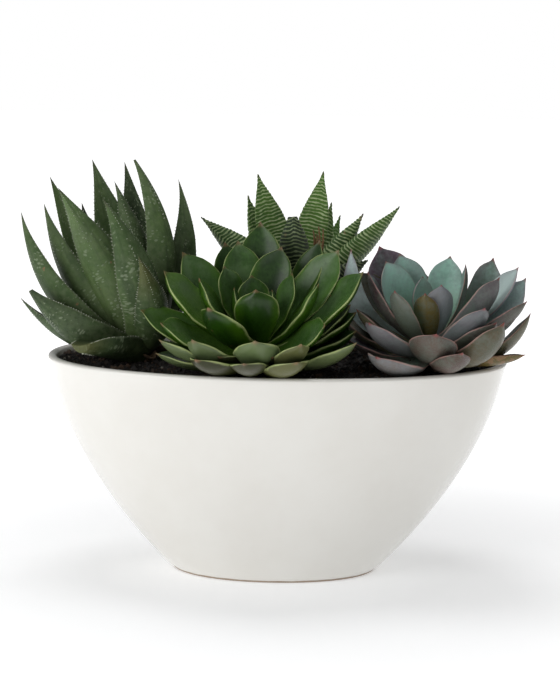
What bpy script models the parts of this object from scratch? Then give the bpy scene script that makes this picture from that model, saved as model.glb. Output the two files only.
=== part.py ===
"""A dish garden of four succulents in an oval glazed ceramic bowl.

Metres, +Z up, +X to the right along the bowl's length, +Y to the back.
The origin is the centre of the bowl's flat foot, on the surface that it stands on.
"""

import math
import random

import bpy
import bmesh
from mathutils import Vector
from mathutils.noise import noise

MM = 0.001
SEED = 7

# Bowl: outer sizes, all oval in plan
RIM_LENGTH = 254 * MM
RIM_DEPTH = 152 * MM
BOWL_HEIGHT = 119.5 * MM
FOOT_LENGTH = 114 * MM
FOOT_DEPTH = 80 * MM
WALL = 4.6 * MM
FLOOR = 7 * MM
FOOT_BEVEL = 1.2 * MM
OVAL_POWER = 2.1
BOWL_SIDES = 40
WALL_RINGS = 8
# Where the wall's curve is pulled, as shares of its run from foot to rim: (outwards, upwards)
FOOT_PULL = (0.30, 0.17)
RIM_PULL = (0.88, 0.56)

# Soil: its top is a low mound that meets the wall just under the rim
SOIL_GAP = 0.6 * MM
SOIL_BELOW_RIM = 3.2 * MM
SOIL_MOUND = 0.3 * MM
SOIL_LUMP = 0.5 * MM
SOIL_LUMP_SIZE = 14 * MM
SOIL_TOP_RINGS = 6

# Stems: short and upright, each standing in its own hole in the soil
STEM_SIDES = 12
STEM_DEPTH = 26 * MM
HOLE_GAP = 0.4 * MM

# Colours of the pieces
GLAZE_COLOUR = (0.86, 0.86, 0.83)
SOIL_COLOUR = (0.015, 0.013, 0.012)
ALOE_COLOUR = (0.10, 0.17, 0.08)
GREEN_COLOUR = (0.09, 0.20, 0.05)
BLUE_COLOUR = (0.25, 0.32, 0.32)
ZEBRA_COLOUR = (0.07, 0.18, 0.05)

# Edges sharper than this stay sharp, in degrees
BOWL_EDGE = 40
SOIL_EDGE = 60
PLANT_EDGE = 50

# Two corners closer than this are one
WELD = 0.002 * MM

# Plant middles: where each rosette's leaves meet, in mm
ALOE_MIDDLE = (-77, -2, 125)
GREEN_MIDDLE = (-10.7, -35, 134.6)
BLUE_MIDDLE = (83.9, -22, 135.3)
ZEBRA_MIDDLE = (9.7, 28, 152)

# Leaves: (tip to the right, to the back and up from the plant's middle, width) in mm,
# then for some the bearing that the leaf's back faces, in degrees, how far it bows outwards,
# and how far it sways to its side, in mm

ALOE_LEAVES = [
    # the fan of tall leaves, from left to right
    (-64, -8, 73, 23, -140, 14),
    (-53, 6, 76.5, 22, -135),
    (-51.5, 22, 90, 22, 115, 7),
    (-43, -18, 87.5, 25, -95, 4, 4),
    (-33.5, 20, 76, 20, 120),
    (-27, 10, 101, 24, 100, None, -2.5),
    (-14, 0, 90, 19, -80, None, 5),
    (-10, 22, 99, 21, 80, None, -1),
    (-5.5, 2, 105.5, 22, -35, 17),
    (-18, -28, 83, 25, -56, 16),
    (20.5, 10, 91, 17, 75, 4, -12),
    # the low leaves that lean out over the rim
    (-67, 13, 23, 20, -165),
    (-60, -27, 36, 29, -120),
    (-35, -51, 3, 30, -100, -4.4),
    (2, -42, 54, 20, -60, 9, 3),
]

GREEN_LEAVES = [
    # the inner cup
    (-1.4, -26, 30, 24),
    (-13, -5, 28, 15),
    (-4, 8, 33, 18),
    (7, -4, 27, 14),
    (-19, 8, 38, 19),
    (18, 5, 35, 17),
    # the middle ring
    (-12, 22, 50, 23),
    (0, 34, 59.5, 24),
    (12, 20, 47.5, 22, 90, None, 2.5),
    (33, 26, 51, 20),
    (43, 14, 47, 25, 60),
    (32, -12, 32, 19),
    (56, -6, 38, 24, 25),
    (-42, 16, 44, 25, 125),
    (-51, -2, 36, 25, 155),
    (-32, -6, 33, 21),
    (-26, -36, 21.5, 27),
    (-19.5, 32, 48, 22),
    (-42, 8, 22, 22),
    (50, 8, 18, 24),
    (40, 12, 5, 22),
    # the outer ring, flat on the left and seen from its underside in front
    (-63, -8, 15.5, 22, 132),
    (-51.5, -25, 11.2, 24, 165),
    (-34, -46, 6, 25, -122, 9),
    (-52, -29, 3, 22, -140, 7),
    (-54, -22, -5.5, 20, -145, 6),
    (-1, -56, 7.5, 25, -90, 8),
    (23, -51, 5.5, 21, -72, 8),
    (52.5, -29, 3.2, 23, -62, 8),
    (35.5, -30, 12.5, 20, 20),
    # the lowest leaves, which hang over the rim
    (-32, -52, -3.5, 25, -115, 6.2),
    (21, -55, -3.5, 24, -76, 6.5),
    (-6.5, -59, -4, 20, -92, 5.8),
    (8, -44, -3, 18, -82, 3.2),
    (-20, -45, -3, 18, -105, 3.2),
    # dark leaves on the right, in the shade of the others
    (53, 2, 15, 24, 0),
    (53, -6, 6, 24, -20),
]

BLUE_LEAVES = [
    # the inner cup
    (-5.5, 6, 32, 16),
    (3.5, -12, 30, 16, -75),
    (-5.5, -18, 26, 14.5, -105),
    (-22, -20, 27.5, 20),
    (10, 18, 42, 20),
    (18, 12, 38.5, 13, 0),
    # the middle ring
    (-18, 20, 42.5, 22, 95),
    (-26, 6, 40, 22, 120),
    (-29, 24, 46, 28, 95, None, 2),
    (34, 22, 41, 22, 85, None, -10),
    (46.5, 6, 38, 20, 30),
    (35, -8, 34, 22, -45),
    (51, 8, 32, 19, 60, None, -8),
    (25.5, -34, 21, 22),
    (-36, -4, 35.5, 21),
    (-36, -34, 12, 25),
    (-3, 26, 31, 20),
    (-45, 0, 47.5, 13, 95, 2, 18),
    (-42, 14, 33, 24, 115),
    (-42, -12, 16, 20),
    (-47, 12, 6, 24),
    (-42, 22, 16, 24),
    (-46, -4, -2, 22),
    (-48, 18, -2, 24),
    # the outer ring, seen from its underside
    (50, -12, 22, 19, -40),
    (53.5, 2, 13.5, 22, -25, 13),
    (32, -32, 13, 22),
    (35.5, -38, 14, 23, -66, 13),
    (-1, -50, 9, 26, -95, 7),
    (13, -51, -0.5, 19, -78, 8),
    (-32, -48, -4, 28, -112, 6.8),
    (50, -14, -7, 18, -60, 3.5),
]

ZEBRA_LEAVES = [
    # the tall leaves, seen from their inner face
    (-22.5, 4, 65, 18.5, 105),
    (-28, 14, 52, 17, 130),
    (14.3, 6, 67, 18, 80),
    (19.5, 22, 48, 15, 60),
    (24.7, 30, 40, 13, 50),
    # the leaves that lean out to both sides
    (-54, 2, 40.5, 17, -104, 0),
    (37, 2, 44, 17, -55, 2),
    (57.5, 6, 48, 19, -50, 2),
    (40, -6, 19, 19, -72, 2),
    # the blunt leaf in front, seen from its back
    (-3, -14, 49.5, 17, -90),
    # a low leaf between the two rosettes
    (42, -2, -20, 20, -95, 2),
]

# Leaves whose tip has broken off: which row of the table, and the share of the length that is left
ALOE_CUTS = {8: 0.96, 12: 0.94, 13: 0.8}
ZEBRA_CUTS = {9: 0.88}

# Leaves that the front view doesn't show, each set as (how many, from which bearing, to which
# bearing, in degrees, how far their tips reach outwards, how high they rise, their width, in mm)
ALOE_HIDDEN = [(5, 35, 150, 42, 54, 20)]
GREEN_HIDDEN = [(6, 10, 170, 33, 12, 20)]
BLUE_HIDDEN = [(6, 0, 180, 42, 12, 20)]
ZEBRA_HIDDEN = [(6, 20, 160, 40, 22, 16), (5, 0, 180, 36, -4, 16), (3, 200, 340, 24, 6, 14)]
BEARING_SCATTER = 5
REACH_SCATTER = 0.08
RISE_SCATTER = 0.1


def clear_scene():
    for obj in list(bpy.data.objects):
        bpy.data.objects.remove(obj, do_unlink=True)


def material(name, colour, roughness):
    """A plain Principled material in the piece's own colour."""
    made = bpy.data.materials.new(name)
    made.use_nodes = True
    shader = made.node_tree.nodes["Principled BSDF"]
    shader.inputs["Base Color"].default_value = (*colour, 1.0)
    shader.inputs["Roughness"].default_value = roughness
    shader.inputs["Metallic"].default_value = 0.0
    return made


def new_object(name, bm, finish=None, collection=None):
    bmesh.ops.recalc_face_normals(bm, faces=bm.faces)
    mesh = bpy.data.meshes.new(name)
    bm.to_mesh(mesh)
    bm.free()
    if finish:
        mesh.materials.append(finish)
    obj = bpy.data.objects.new(name, mesh)
    (collection or bpy.context.scene.collection).objects.link(obj)
    return obj


def smooth(obj, degrees):
    obj.data.shade_smooth()
    obj.data.set_sharp_from_angle(angle=math.radians(degrees))


def skin_rings(bm, rings):
    """Joins a list of closed rings of points into one closed body, with a flat face on each end."""
    made = [[bm.verts.new(point) for point in ring] for ring in rings]
    for lower, upper in zip(made, made[1:]):
        count = len(lower)
        for i in range(count):
            j = (i + 1) % count
            bm.faces.new((lower[i], lower[j], upper[j], upper[i]))
    bm.faces.new(list(reversed(made[0])))
    bm.faces.new(made[-1])


# The bowl and its soil


def oval(half_length, half_depth, height):
    """A ring of points round a slightly squared oval."""
    points = []
    for i in range(BOWL_SIDES):
        turn = 2 * math.pi * i / BOWL_SIDES
        across, back = math.cos(turn), math.sin(turn)
        x = math.copysign(abs(across) ** (2 / OVAL_POWER), across) * half_length
        y = math.copysign(abs(back) ** (2 / OVAL_POWER), back) * half_depth
        points.append(Vector((x, y, height)))
    return points


def wall_curve(t):
    """(share of the way out, share of the way up) along the bowl's outer wall, from foot to rim."""
    a, b, c = 3 * (1 - t) ** 2 * t, 3 * (1 - t) * t * t, t**3
    out_share = a * FOOT_PULL[0] + b * RIM_PULL[0] + c
    up_share = a * FOOT_PULL[1] + b * RIM_PULL[1] + c
    return out_share, up_share


def wall_t(height):
    """The place along the wall's curve that lies at this height."""
    low, high = 0.0, 1.0
    for _ in range(30):
        middle = (low + high) / 2
        if wall_curve(middle)[1] * BOWL_HEIGHT < height:
            low = middle
        else:
            high = middle
    return low


def wall_ring(t, inset, rise=0.0):
    """The wall's oval at t, moved inwards by the inset."""
    out_share, up_share = wall_curve(t)
    half_length = FOOT_LENGTH / 2 + (RIM_LENGTH - FOOT_LENGTH) / 2 * out_share
    half_depth = FOOT_DEPTH / 2 + (RIM_DEPTH - FOOT_DEPTH) / 2 * out_share
    return oval(half_length - inset, half_depth - inset, up_share * BOWL_HEIGHT + rise)


def wall_thickness(t):
    """The wall is thicker low down, as in a cast bowl."""
    return WALL * (1.9 - 0.9 * t)


def inner_steps():
    """The places along the wall's curve, from the bowl's floor to its rim, that its inside uses."""
    low = wall_t(FLOOR)
    return [low + (1 - low) * i / WALL_RINGS for i in range(WALL_RINGS + 1)]


def make_bowl(finish):
    """The outline goes from the foot up the outside, over the rounded lip and down the inside."""
    rings = [wall_ring(0, FOOT_BEVEL), wall_ring(0, 0, FOOT_BEVEL)]
    rings += [wall_ring(i / WALL_RINGS, 0) for i in range(1, WALL_RINGS)]
    for inset, drop in ((0, 0.35), (0.18, 0.08), (0.5, 0), (0.82, 0.08), (1, 0.35)):
        rings.append(wall_ring(1, inset * WALL, -drop * WALL))
    rings += [wall_ring(t, wall_thickness(t)) for t in reversed(inner_steps()[:-1])]
    bm = bmesh.new()
    skin_rings(bm, rings)
    bowl = new_object("bowl", bm, finish)
    smooth(bowl, BOWL_EDGE)
    return bowl


def soil_height(x, y):
    """The soil's surface: a low mound with soft lumps, even at its edge."""
    out = min(1.0, math.hypot(x / (RIM_LENGTH / 2 - WALL), y / (RIM_DEPTH / 2 - WALL)))
    lump = SOIL_LUMP * noise(Vector((x, y, SEED * MM)) / SOIL_LUMP_SIZE)
    mound = SOIL_MOUND * (1 - out**2)
    return BOWL_HEIGHT - SOIL_BELOW_RIM + mound + lump * min(1.0, 5 * (1 - out))


def make_soil(finish):
    """The soil fills the bowl, a hair clear of its wall and floor."""
    top = wall_t(BOWL_HEIGHT - SOIL_BELOW_RIM)
    steps = [t for t in inner_steps() if t < top - 0.02] + [top]
    rings = [wall_ring(t, wall_thickness(t) + SOIL_GAP) for t in steps]
    for point in rings[0]:
        point.z += SOIL_GAP
    edge = rings[-1]
    for i in range(1, SOIL_TOP_RINGS):
        share = 1 - i / SOIL_TOP_RINGS
        ring = [Vector((p.x * share, p.y * share, 0)) for p in edge]
        for point in ring:
            point.z = soil_height(point.x, point.y)
        rings.append(ring)
    bm = bmesh.new()
    skin_rings(bm, rings)
    return new_object("soil", bm, finish)


# Booleans


def keep_result(obj):
    """Applies the object's modifiers."""
    graph = bpy.context.evaluated_depsgraph_get()
    graph.update()
    result = bpy.data.meshes.new_from_object(obj.evaluated_get(graph))
    obj.modifiers.clear()
    obj.data = result


def cut(target, cutter):
    modifier = target.modifiers.new("hole", "BOOLEAN")
    modifier.operation = "DIFFERENCE"
    modifier.object = cutter
    keep_result(target)
    bpy.data.objects.remove(cutter, do_unlink=True)


def fuse(target, collection):
    """Joins everything in the collection to the target, as one closed body."""
    modifier = target.modifiers.new("fused", "BOOLEAN")
    modifier.operation = "UNION"
    modifier.operand_type = "COLLECTION"
    modifier.collection = collection
    modifier.solver = "EXACT"
    keep_result(target)
    for obj in list(collection.objects):
        bpy.data.objects.remove(obj, do_unlink=True)
    bpy.data.collections.remove(collection)
    keep_largest_shell(target)


def keep_largest_shell(obj):
    """Fills any hollow that the fusing has sealed, and drops loose scraps."""
    bm = bmesh.new()
    bm.from_mesh(obj.data)
    bmesh.ops.remove_doubles(bm, verts=bm.verts, dist=WELD)
    bmesh.ops.dissolve_degenerate(bm, edges=bm.edges, dist=WELD)
    shells = []
    unseen = set(bm.faces)
    while unseen:
        shell = {unseen.pop()}
        front = list(shell)
        while front:
            face = front.pop()
            for edge in face.edges:
                for other in edge.link_faces:
                    if other in unseen:
                        unseen.discard(other)
                        shell.add(other)
                        front.append(other)
        shells.append(shell)
    shells.sort(key=len)
    for shell in shells[:-1]:
        bmesh.ops.delete(bm, geom=list(shell), context="FACES")
    loose = [vert for vert in bm.verts if not vert.link_faces]
    bmesh.ops.delete(bm, geom=loose, context="VERTS")
    bm.to_mesh(obj.data)
    bm.free()


# Leaves


# Outlines: the share of the full width at shares of the length, from foot to tip
SPOON_OUTLINE = [
    (0, 0.45), (0.16, 0.57), (0.32, 0.77), (0.48, 0.94), (0.62, 1), (0.75, 0.95), (0.84, 0.79),
    (0.90, 0.55), (0.94, 0.30), (0.965, 0.14), (0.985, 0.06), (1, 0),
]
LANCE_OUTLINE = [
    (0, 0.80), (0.2, 0.93), (0.4, 1), (0.53, 0.94), (0.65, 0.77), (0.75, 0.56), (0.84, 0.34),
    (0.92, 0.155), (0.97, 0.055), (1, 0),
]
DAGGER_OUTLINE = [
    (0, 0.88), (0.25, 0.97), (0.46, 1), (0.60, 0.92), (0.70, 0.75), (0.79, 0.53), (0.88, 0.28),
    (0.94, 0.12), (0.98, 0.045), (1, 0),
]

# A leaf's back is this round, and thins towards the tip
BACK_CORNER = 0.62
BACK_ROUNDNESS = 0.6
THICKNESS_POWER = 0.7
TIP_THINNING = 0.45
# A flat-lying leaf starts lower on the stem by this power of its lean
DROP_POWER = 1.3
# Sections of a leaf are at least this share of its length apart
SHORTEST_STEP = 0.03


def share_of_width(outline, s):
    """The share of the full width at s, straight between the outline's points."""
    for (before, low), (after, high) in zip(outline, outline[1:]):
        if s <= after:
            return low + (high - low) * (s - before) / (after - before)
    return 0.0


class Form:
    """A kind of leaf: its outline and proportions."""

    def __init__(self, outline, steps, thick, cup, belly, foot, drop, ridge=0.0):
        self.outline = outline
        # where its sections lie, as shares of its length
        self.steps = steps
        # thickness and the margins' rise, as shares of the width
        self.thick = thick
        self.cup = cup
        # how far the leaf bows outwards, as a share of its length
        self.belly = belly
        # how far from the stem's axis a leaf starts, and how much lower a flat-lying leaf starts
        self.foot = foot * MM
        self.drop = drop * MM
        # height of the raised cross bands
        self.ridge = ridge * MM


SPOON_STEPS = (0, 0.28, 0.54, 0.78, 0.92)
LANCE_STEPS = (0, 0.22, 0.45, 0.66, 0.84)
SPOON = Form(SPOON_OUTLINE, SPOON_STEPS, thick=0.22, cup=0.13, belly=0.10, foot=3, drop=10)
LANCE = Form(LANCE_OUTLINE, LANCE_STEPS, thick=0.34, cup=0.10, belly=0.10, foot=5, drop=3)
BAND_COUNT = 8
LAST_BAND = 0.96
BAND_STEPS = tuple(LAST_BAND * i / BAND_COUNT for i in range(BAND_COUNT + 1))
DAGGER = Form(DAGGER_OUTLINE, BAND_STEPS, thick=0.42, cup=0.04, belly=0.08, foot=5, drop=4, ridge=0.45)

# Corners of a leaf's section: (share of the half width from the midrib, whether on the back)
SECTION = ((1, 0), (0, 0), (-1, 0), (-BACK_CORNER, 1), (0, 1), (BACK_CORNER, 1))


class Leaf:
    """The midrib of one leaf, from its foot on the stem to its tip."""

    def __init__(self, plant, cut, x, y, z, width, bearing=None, bow=None, sway=0):
        self.form = plant.form
        # the share of its length that is left, for a leaf with a broken tip
        self.cut = cut
        self.width = width * MM
        axis = plant.axis
        tip = Vector((x, y, z)) * MM
        out = tip
        if bearing is not None:
            out = Vector((math.cos(math.radians(bearing)), math.sin(math.radians(bearing)), 0))
        out = (out - axis * out.dot(axis)).normalized()
        leaning = tip.angle(axis) / (math.pi / 2)
        self.tip = plant.middle + tip
        self.foot = plant.middle + out * self.form.foot - axis * self.form.drop * leaning**DROP_POWER
        chord = self.tip - self.foot
        side = axis.cross(out)
        along = chord.normalized()
        self.side = (side - along * side.dot(along)).normalized()
        bow = self.form.belly * chord.length if bow is None else bow * MM
        outward = self.side.cross(along)
        self.knee = self.foot + chord * 0.5 + (outward * bow + self.side * sway * MM) * 2

    def at(self, s):
        """(point, direction up through the upper face) at this share of the length."""
        point = self.foot * (1 - s) ** 2 + self.knee * (2 * s * (1 - s)) + self.tip * s * s
        along = (self.knee - self.foot) * (1 - s) + (self.tip - self.knee) * s
        return point, along.cross(self.side).normalized()

    def section(self, s, ridge):
        """The corners of the leaf's section: a cupped upper face over a rounded back."""
        point, up = self.at(s)
        share = share_of_width(self.form.outline, s)
        half = self.width / 2 * share
        thick = self.form.thick * self.width * share**THICKNESS_POWER * (1 - TIP_THINNING * s)
        corners = []
        for across, on_back in SECTION:
            rise = self.form.cup * self.width * share * across**2
            if on_back:
                rise -= thick * (1 - across**2) ** BACK_ROUNDNESS + ridge
            corners.append(point + self.side * across * (half + ridge / 2) + up * rise)
        return corners

    def add_to(self, collection):
        bm = bmesh.new()
        rings = []
        steps = [s for s in self.form.steps if s < self.cut - SHORTEST_STEP]
        if self.cut < 1:
            steps.append(self.cut)
        for i, s in enumerate(steps):
            ridge = self.form.ridge * (i % 2)
            rings.append([bm.verts.new(corner) for corner in self.section(s, ridge)])
        count = len(SECTION)
        for lower, upper in zip(rings, rings[1:]):
            for i in range(count):
                j = (i + 1) % count
                bm.faces.new((lower[i], lower[j], upper[j], upper[i]))
        if self.cut < 1:
            bm.faces.new(rings[-1])
        else:
            point = bm.verts.new(self.tip)
            for i in range(count):
                bm.faces.new((rings[-1][i], rings[-1][(i + 1) % count], point))
        bm.faces.new(list(reversed(rings[0])))
        new_object("leaf", bm, collection=collection)


# Plants


class Plant:
    """A rosette: where its leaves meet, how its axis leans, its kind of leaf and its stem."""

    def __init__(self, name, middle, lean, form, stem_radius, stem_top):
        self.name = name
        self.middle = Vector(middle) * MM
        right, back = (math.tan(math.radians(angle)) for angle in lean)
        self.axis = Vector((right, back, 1)).normalized()
        self.form = form
        self.stem_radius = stem_radius * MM
        self.stem_top = stem_top * MM

    def stem_ring(self, centre, radius):
        turns = [2 * math.pi * i / STEM_SIDES for i in range(STEM_SIDES)]
        return [centre + Vector((math.cos(a), math.sin(a), 0)) * radius for a in turns]

    def stem_post(self, name, bottom, top, radius, finish=None):
        """The upright part of the stem, or the hole that it stands in."""
        bm = bmesh.new()
        foot = Vector((self.middle.x, self.middle.y, bottom))
        head = Vector((self.middle.x, self.middle.y, top))
        skin_rings(bm, [self.stem_ring(foot, radius), self.stem_ring(head, radius)])
        return new_object(name, bm, finish)

    def make_stem(self, finish):
        """An upright post in the soil, which leans with the rosette above it."""
        surface = soil_height(self.middle.x, self.middle.y)
        foot = Vector((self.middle.x, self.middle.y, surface - STEM_DEPTH))
        neck = Vector((self.middle.x, self.middle.y, surface + 1 * MM))
        head = self.middle + self.axis * self.stem_top
        rings = [
            self.stem_ring(foot, self.stem_radius * 0.8),
            self.stem_ring(foot.lerp(neck, 0.3), self.stem_radius),
            self.stem_ring(neck, self.stem_radius),
            self.stem_ring(neck.lerp(head, 0.6), self.stem_radius * 0.9),
            self.stem_ring(head, self.stem_radius * 0.4),
        ]
        bm = bmesh.new()
        skin_rings(bm, rings)
        return new_object(self.name, bm, finish)

    def hole(self):
        surface = soil_height(self.middle.x, self.middle.y)
        bottom = surface - STEM_DEPTH - HOLE_GAP
        return self.stem_post("hole", bottom, surface + 20 * MM, self.stem_radius + HOLE_GAP)


def hidden_leaves(rng, sets):
    """Leaves spread evenly between two bearings, each a little off its place."""
    leaves = []
    for count, first, last, reach, rise, width in sets:
        for i in range(count):
            scatter = rng.uniform(-BEARING_SCATTER, BEARING_SCATTER)
            bearing = math.radians(first + (last - first) * (i + 0.5) / count + scatter)
            length = reach * rng.uniform(1 - REACH_SCATTER, 1 + REACH_SCATTER)
            height = rise * rng.uniform(1 - RISE_SCATTER, 1 + RISE_SCATTER)
            leaves.append((length * math.cos(bearing), length * math.sin(bearing), height, width))
    return leaves


def make_plant(plant, leaves, cuts, finish):
    stem = plant.make_stem(finish)
    collection = bpy.data.collections.new(plant.name + "_leaves")
    bpy.context.scene.collection.children.link(collection)
    for i, leaf in enumerate(leaves):
        Leaf(plant, cuts.get(i, 1), *leaf).add_to(collection)
    fuse(stem, collection)
    smooth(stem, PLANT_EDGE)
    return stem


def make_plants(soil):
    rng = random.Random(SEED)
    aloe = Plant("aloe", ALOE_MIDDLE, (-6, 0), LANCE, stem_radius=14, stem_top=14)
    green = Plant("green_echeveria", GREEN_MIDDLE, (-4, -12), SPOON, stem_radius=7, stem_top=8)
    blue = Plant("blue_echeveria", BLUE_MIDDLE, (6, -6), SPOON, stem_radius=7, stem_top=8)
    zebra = Plant("zebra_haworthia", ZEBRA_MIDDLE, (0, 0), DAGGER, stem_radius=9, stem_top=10)
    aloe_leaves = ALOE_LEAVES + hidden_leaves(rng, ALOE_HIDDEN)
    green_leaves = GREEN_LEAVES + hidden_leaves(rng, GREEN_HIDDEN)
    blue_leaves = BLUE_LEAVES + hidden_leaves(rng, BLUE_HIDDEN)
    zebra_leaves = ZEBRA_LEAVES + hidden_leaves(rng, ZEBRA_HIDDEN)
    make_plant(aloe, aloe_leaves, ALOE_CUTS, material("aloe_green", ALOE_COLOUR, 0.5))
    make_plant(green, green_leaves, {}, material("echeveria_green", GREEN_COLOUR, 0.35))
    make_plant(blue, blue_leaves, {}, material("echeveria_blue", BLUE_COLOUR, 0.55))
    make_plant(zebra, zebra_leaves, ZEBRA_CUTS, material("zebra_green", ZEBRA_COLOUR, 0.5))
    for plant in (aloe, green, blue, zebra):
        cut(soil, plant.hole())


def main():
    clear_scene()
    make_bowl(material("white_glaze", GLAZE_COLOUR, 0.3))
    soil = make_soil(material("dark_soil", SOIL_COLOUR, 0.9))
    make_plants(soil)
    smooth(soil, SOIL_EDGE)


main()
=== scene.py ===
# %% [markdown]
# # A dish garden of four succulents
# An oval bowl of white glazed ceramic holds dark potting soil, an aloe, a green and a blue-grey
# echeveria and a zebra plant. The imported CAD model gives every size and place. Here each of its
# solids gets a finer stand-in that keeps the solid's form, and a finish of its own.

# %% Load the frame
import math
import random

import bmesh
import bpy
from mathutils import Matrix, Vector
from mathutils.noise import noise


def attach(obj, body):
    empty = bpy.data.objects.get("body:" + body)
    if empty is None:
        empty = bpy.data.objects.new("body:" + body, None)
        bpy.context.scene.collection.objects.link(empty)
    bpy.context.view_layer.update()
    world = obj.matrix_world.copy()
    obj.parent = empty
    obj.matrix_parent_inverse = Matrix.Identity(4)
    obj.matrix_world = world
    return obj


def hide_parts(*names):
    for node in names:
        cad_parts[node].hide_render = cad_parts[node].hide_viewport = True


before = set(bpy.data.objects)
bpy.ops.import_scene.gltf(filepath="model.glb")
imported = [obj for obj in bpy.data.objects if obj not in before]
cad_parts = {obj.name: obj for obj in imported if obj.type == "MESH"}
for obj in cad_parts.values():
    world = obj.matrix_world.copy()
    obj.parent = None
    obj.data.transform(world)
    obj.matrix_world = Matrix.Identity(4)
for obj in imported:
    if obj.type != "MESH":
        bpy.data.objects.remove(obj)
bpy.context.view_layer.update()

MM = 0.001
print("CAD nodes:", sorted(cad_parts))

# %% [markdown]
# ## Camera
# The picture was taken with a long lens from about 9 degrees above level, so the rim is a thin
# oval and the sides hardly converge. A camera that is turned a degree levels the rim as it is seen.

# %% Camera
IMAGE_HEIGHT = 700
FOCAL_LENGTH_PX = 2345
SENSOR = 36
ELEVATION = math.radians(9.3)
ROLL = math.radians(1.0)
CAMERA_DISTANCE = 1.30
CAMERA_SEES_TO = 20
AIM = Vector((1.3, 0, 122.5)) * MM


def add_object(name, data):
    made = bpy.data.objects.new(name, data)
    bpy.context.scene.collection.objects.link(made)
    return made


def make_camera():
    forward = Vector((0, math.cos(ELEVATION), -math.sin(ELEVATION)))
    level_up = Vector((0, math.sin(ELEVATION), math.cos(ELEVATION)))
    right = Vector((1, 0, 0)) * math.cos(ROLL) + level_up * math.sin(ROLL)
    up = level_up * math.cos(ROLL) - Vector((1, 0, 0)) * math.sin(ROLL)
    lens = bpy.data.cameras.new("camera")
    lens.sensor_fit = "VERTICAL"
    lens.sensor_height = SENSOR
    lens.lens = FOCAL_LENGTH_PX * SENSOR / IMAGE_HEIGHT
    lens.clip_end = CAMERA_SEES_TO
    camera = add_object("camera", lens)
    place = Matrix((right, up, -forward)).transposed().to_4x4()
    place.translation = AIM - forward * CAMERA_DISTANCE
    camera.matrix_world = place
    bpy.context.scene.camera = camera
    return camera


camera = make_camera()
print("lens in mm:", round(camera.data.lens, 1))

# %% [markdown]
# ## Floor and light
# The studio is a white paper sweep that is lit so hard behind the object that it burns out to
# white, while the object itself has softer light: one large lamp from the left front, two weak
# ones from above and the right, and a dim grey room. So the glossy leaves keep deep colours, and the
# bowl turns a little darker to the right. The paper glows more with its distance from the object,
# as a lit sweep does.

# %% Floor and light
FLOOR_SIZE = 8.0
ROOM_STRENGTH = 0.24
PAPER_GLOW_NEAR, PAPER_GLOW_FAR = 0.36, 0.95
GLOW_START, GLOW_FULL = 0.10, 0.45
LAMP_TARGET = Vector((0, 0, 0.12))
LAMPS = {
    # where each lamp stands, its width and height, and its power in watts
    "key_lamp": ((-1.15, -1.05, 0.6), (1.0, 0.8), 9),
    "fill_lamp": ((1.2, -1.0, 0.5), (0.9, 0.9), 0.2),
    "top_lamp": ((-0.1, 0.25, 1.2), (0.5, 0.5), 3),
}


def add_lamp(name, place, size, power):
    lamp = bpy.data.lights.new(name, "AREA")
    lamp.shape = "RECTANGLE"
    lamp.size, lamp.size_y = size
    lamp.energy = power
    stand = add_object(name, lamp)
    stand.location = place
    stand.rotation_euler = (LAMP_TARGET - Vector(place)).to_track_quat("-Z", "Y").to_euler()


def make_room():
    """The room is dim grey for the object, and white where the camera sees it behind the object."""
    world = bpy.data.worlds.new("studio_room")
    world.use_nodes = True
    nodes, links = world.node_tree.nodes, world.node_tree.links
    room = nodes["Background"]
    room.inputs["Color"].default_value = (1, 1, 1, 1)
    room.inputs["Strength"].default_value = ROOM_STRENGTH
    white = nodes.new("ShaderNodeBackground")
    white.inputs["Color"].default_value = (1, 1, 1, 1)
    seen = nodes.new("ShaderNodeLightPath")
    either = nodes.new("ShaderNodeMixShader")
    links.new(seen.outputs["Is Camera Ray"], either.inputs[0])
    links.new(room.outputs[0], either.inputs[1])
    links.new(white.outputs[0], either.inputs[2])
    links.new(either.outputs[0], nodes["World Output"].inputs[0])
    bpy.context.scene.world = world


def make_floor():
    bm = bmesh.new()
    bmesh.ops.create_grid(bm, x_segments=2, y_segments=2, size=FLOOR_SIZE / 2)
    mesh = bpy.data.meshes.new("floor")
    bm.to_mesh(mesh)
    bm.free()
    paper = bpy.data.materials.new("white_paper")
    paper.use_nodes = True
    nodes, links = paper.node_tree.nodes, paper.node_tree.links
    shader = nodes["Principled BSDF"]
    shader.inputs["Base Color"].default_value = (0.85, 0.86, 0.875, 1)
    shader.inputs["Roughness"].default_value = 0.9
    shader.inputs["Emission Color"].default_value = (1, 1, 1, 1)
    away = nodes.new("ShaderNodeVectorMath")
    away.operation = "LENGTH"
    links.new(nodes.new("ShaderNodeTexCoord").outputs["Object"], away.inputs[0])
    glow = nodes.new("ShaderNodeMapRange")
    limits = (GLOW_START, GLOW_FULL, PAPER_GLOW_NEAR, PAPER_GLOW_FAR)
    for socket, value in zip(glow.inputs[1:5], limits):
        socket.default_value = value
    links.new(away.outputs["Value"], glow.inputs[0])
    links.new(glow.outputs[0], shader.inputs["Emission Strength"])
    mesh.materials.append(paper)
    add_object("floor", mesh)


bpy.context.scene.view_settings.view_transform = "Standard"
make_room()
for name, settings in LAMPS.items():
    add_lamp(name, *settings)
make_floor()
print("lamps:", list(LAMPS))

# %% [markdown]
# ## Formulas in node trees
# Both the leaves' shape and their markings follow rules. A rule reads best as a formula, so this
# helper lets a node's socket be added, multiplied and so on, and adds the math nodes by itself.
# It works in geometry trees and in materials alike, so one formula can serve both.

# %% Wires: sockets that formulas are written with


def plug(value, socket):
    """Links a wire into a socket, or writes a plain value there."""
    if isinstance(value, Wire):
        value.tree.links.new(value.socket, socket)
    elif socket.type == "RGBA" and len(value) == 3:
        socket.default_value = (*value, 1.0)
    else:
        socket.default_value = value


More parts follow.
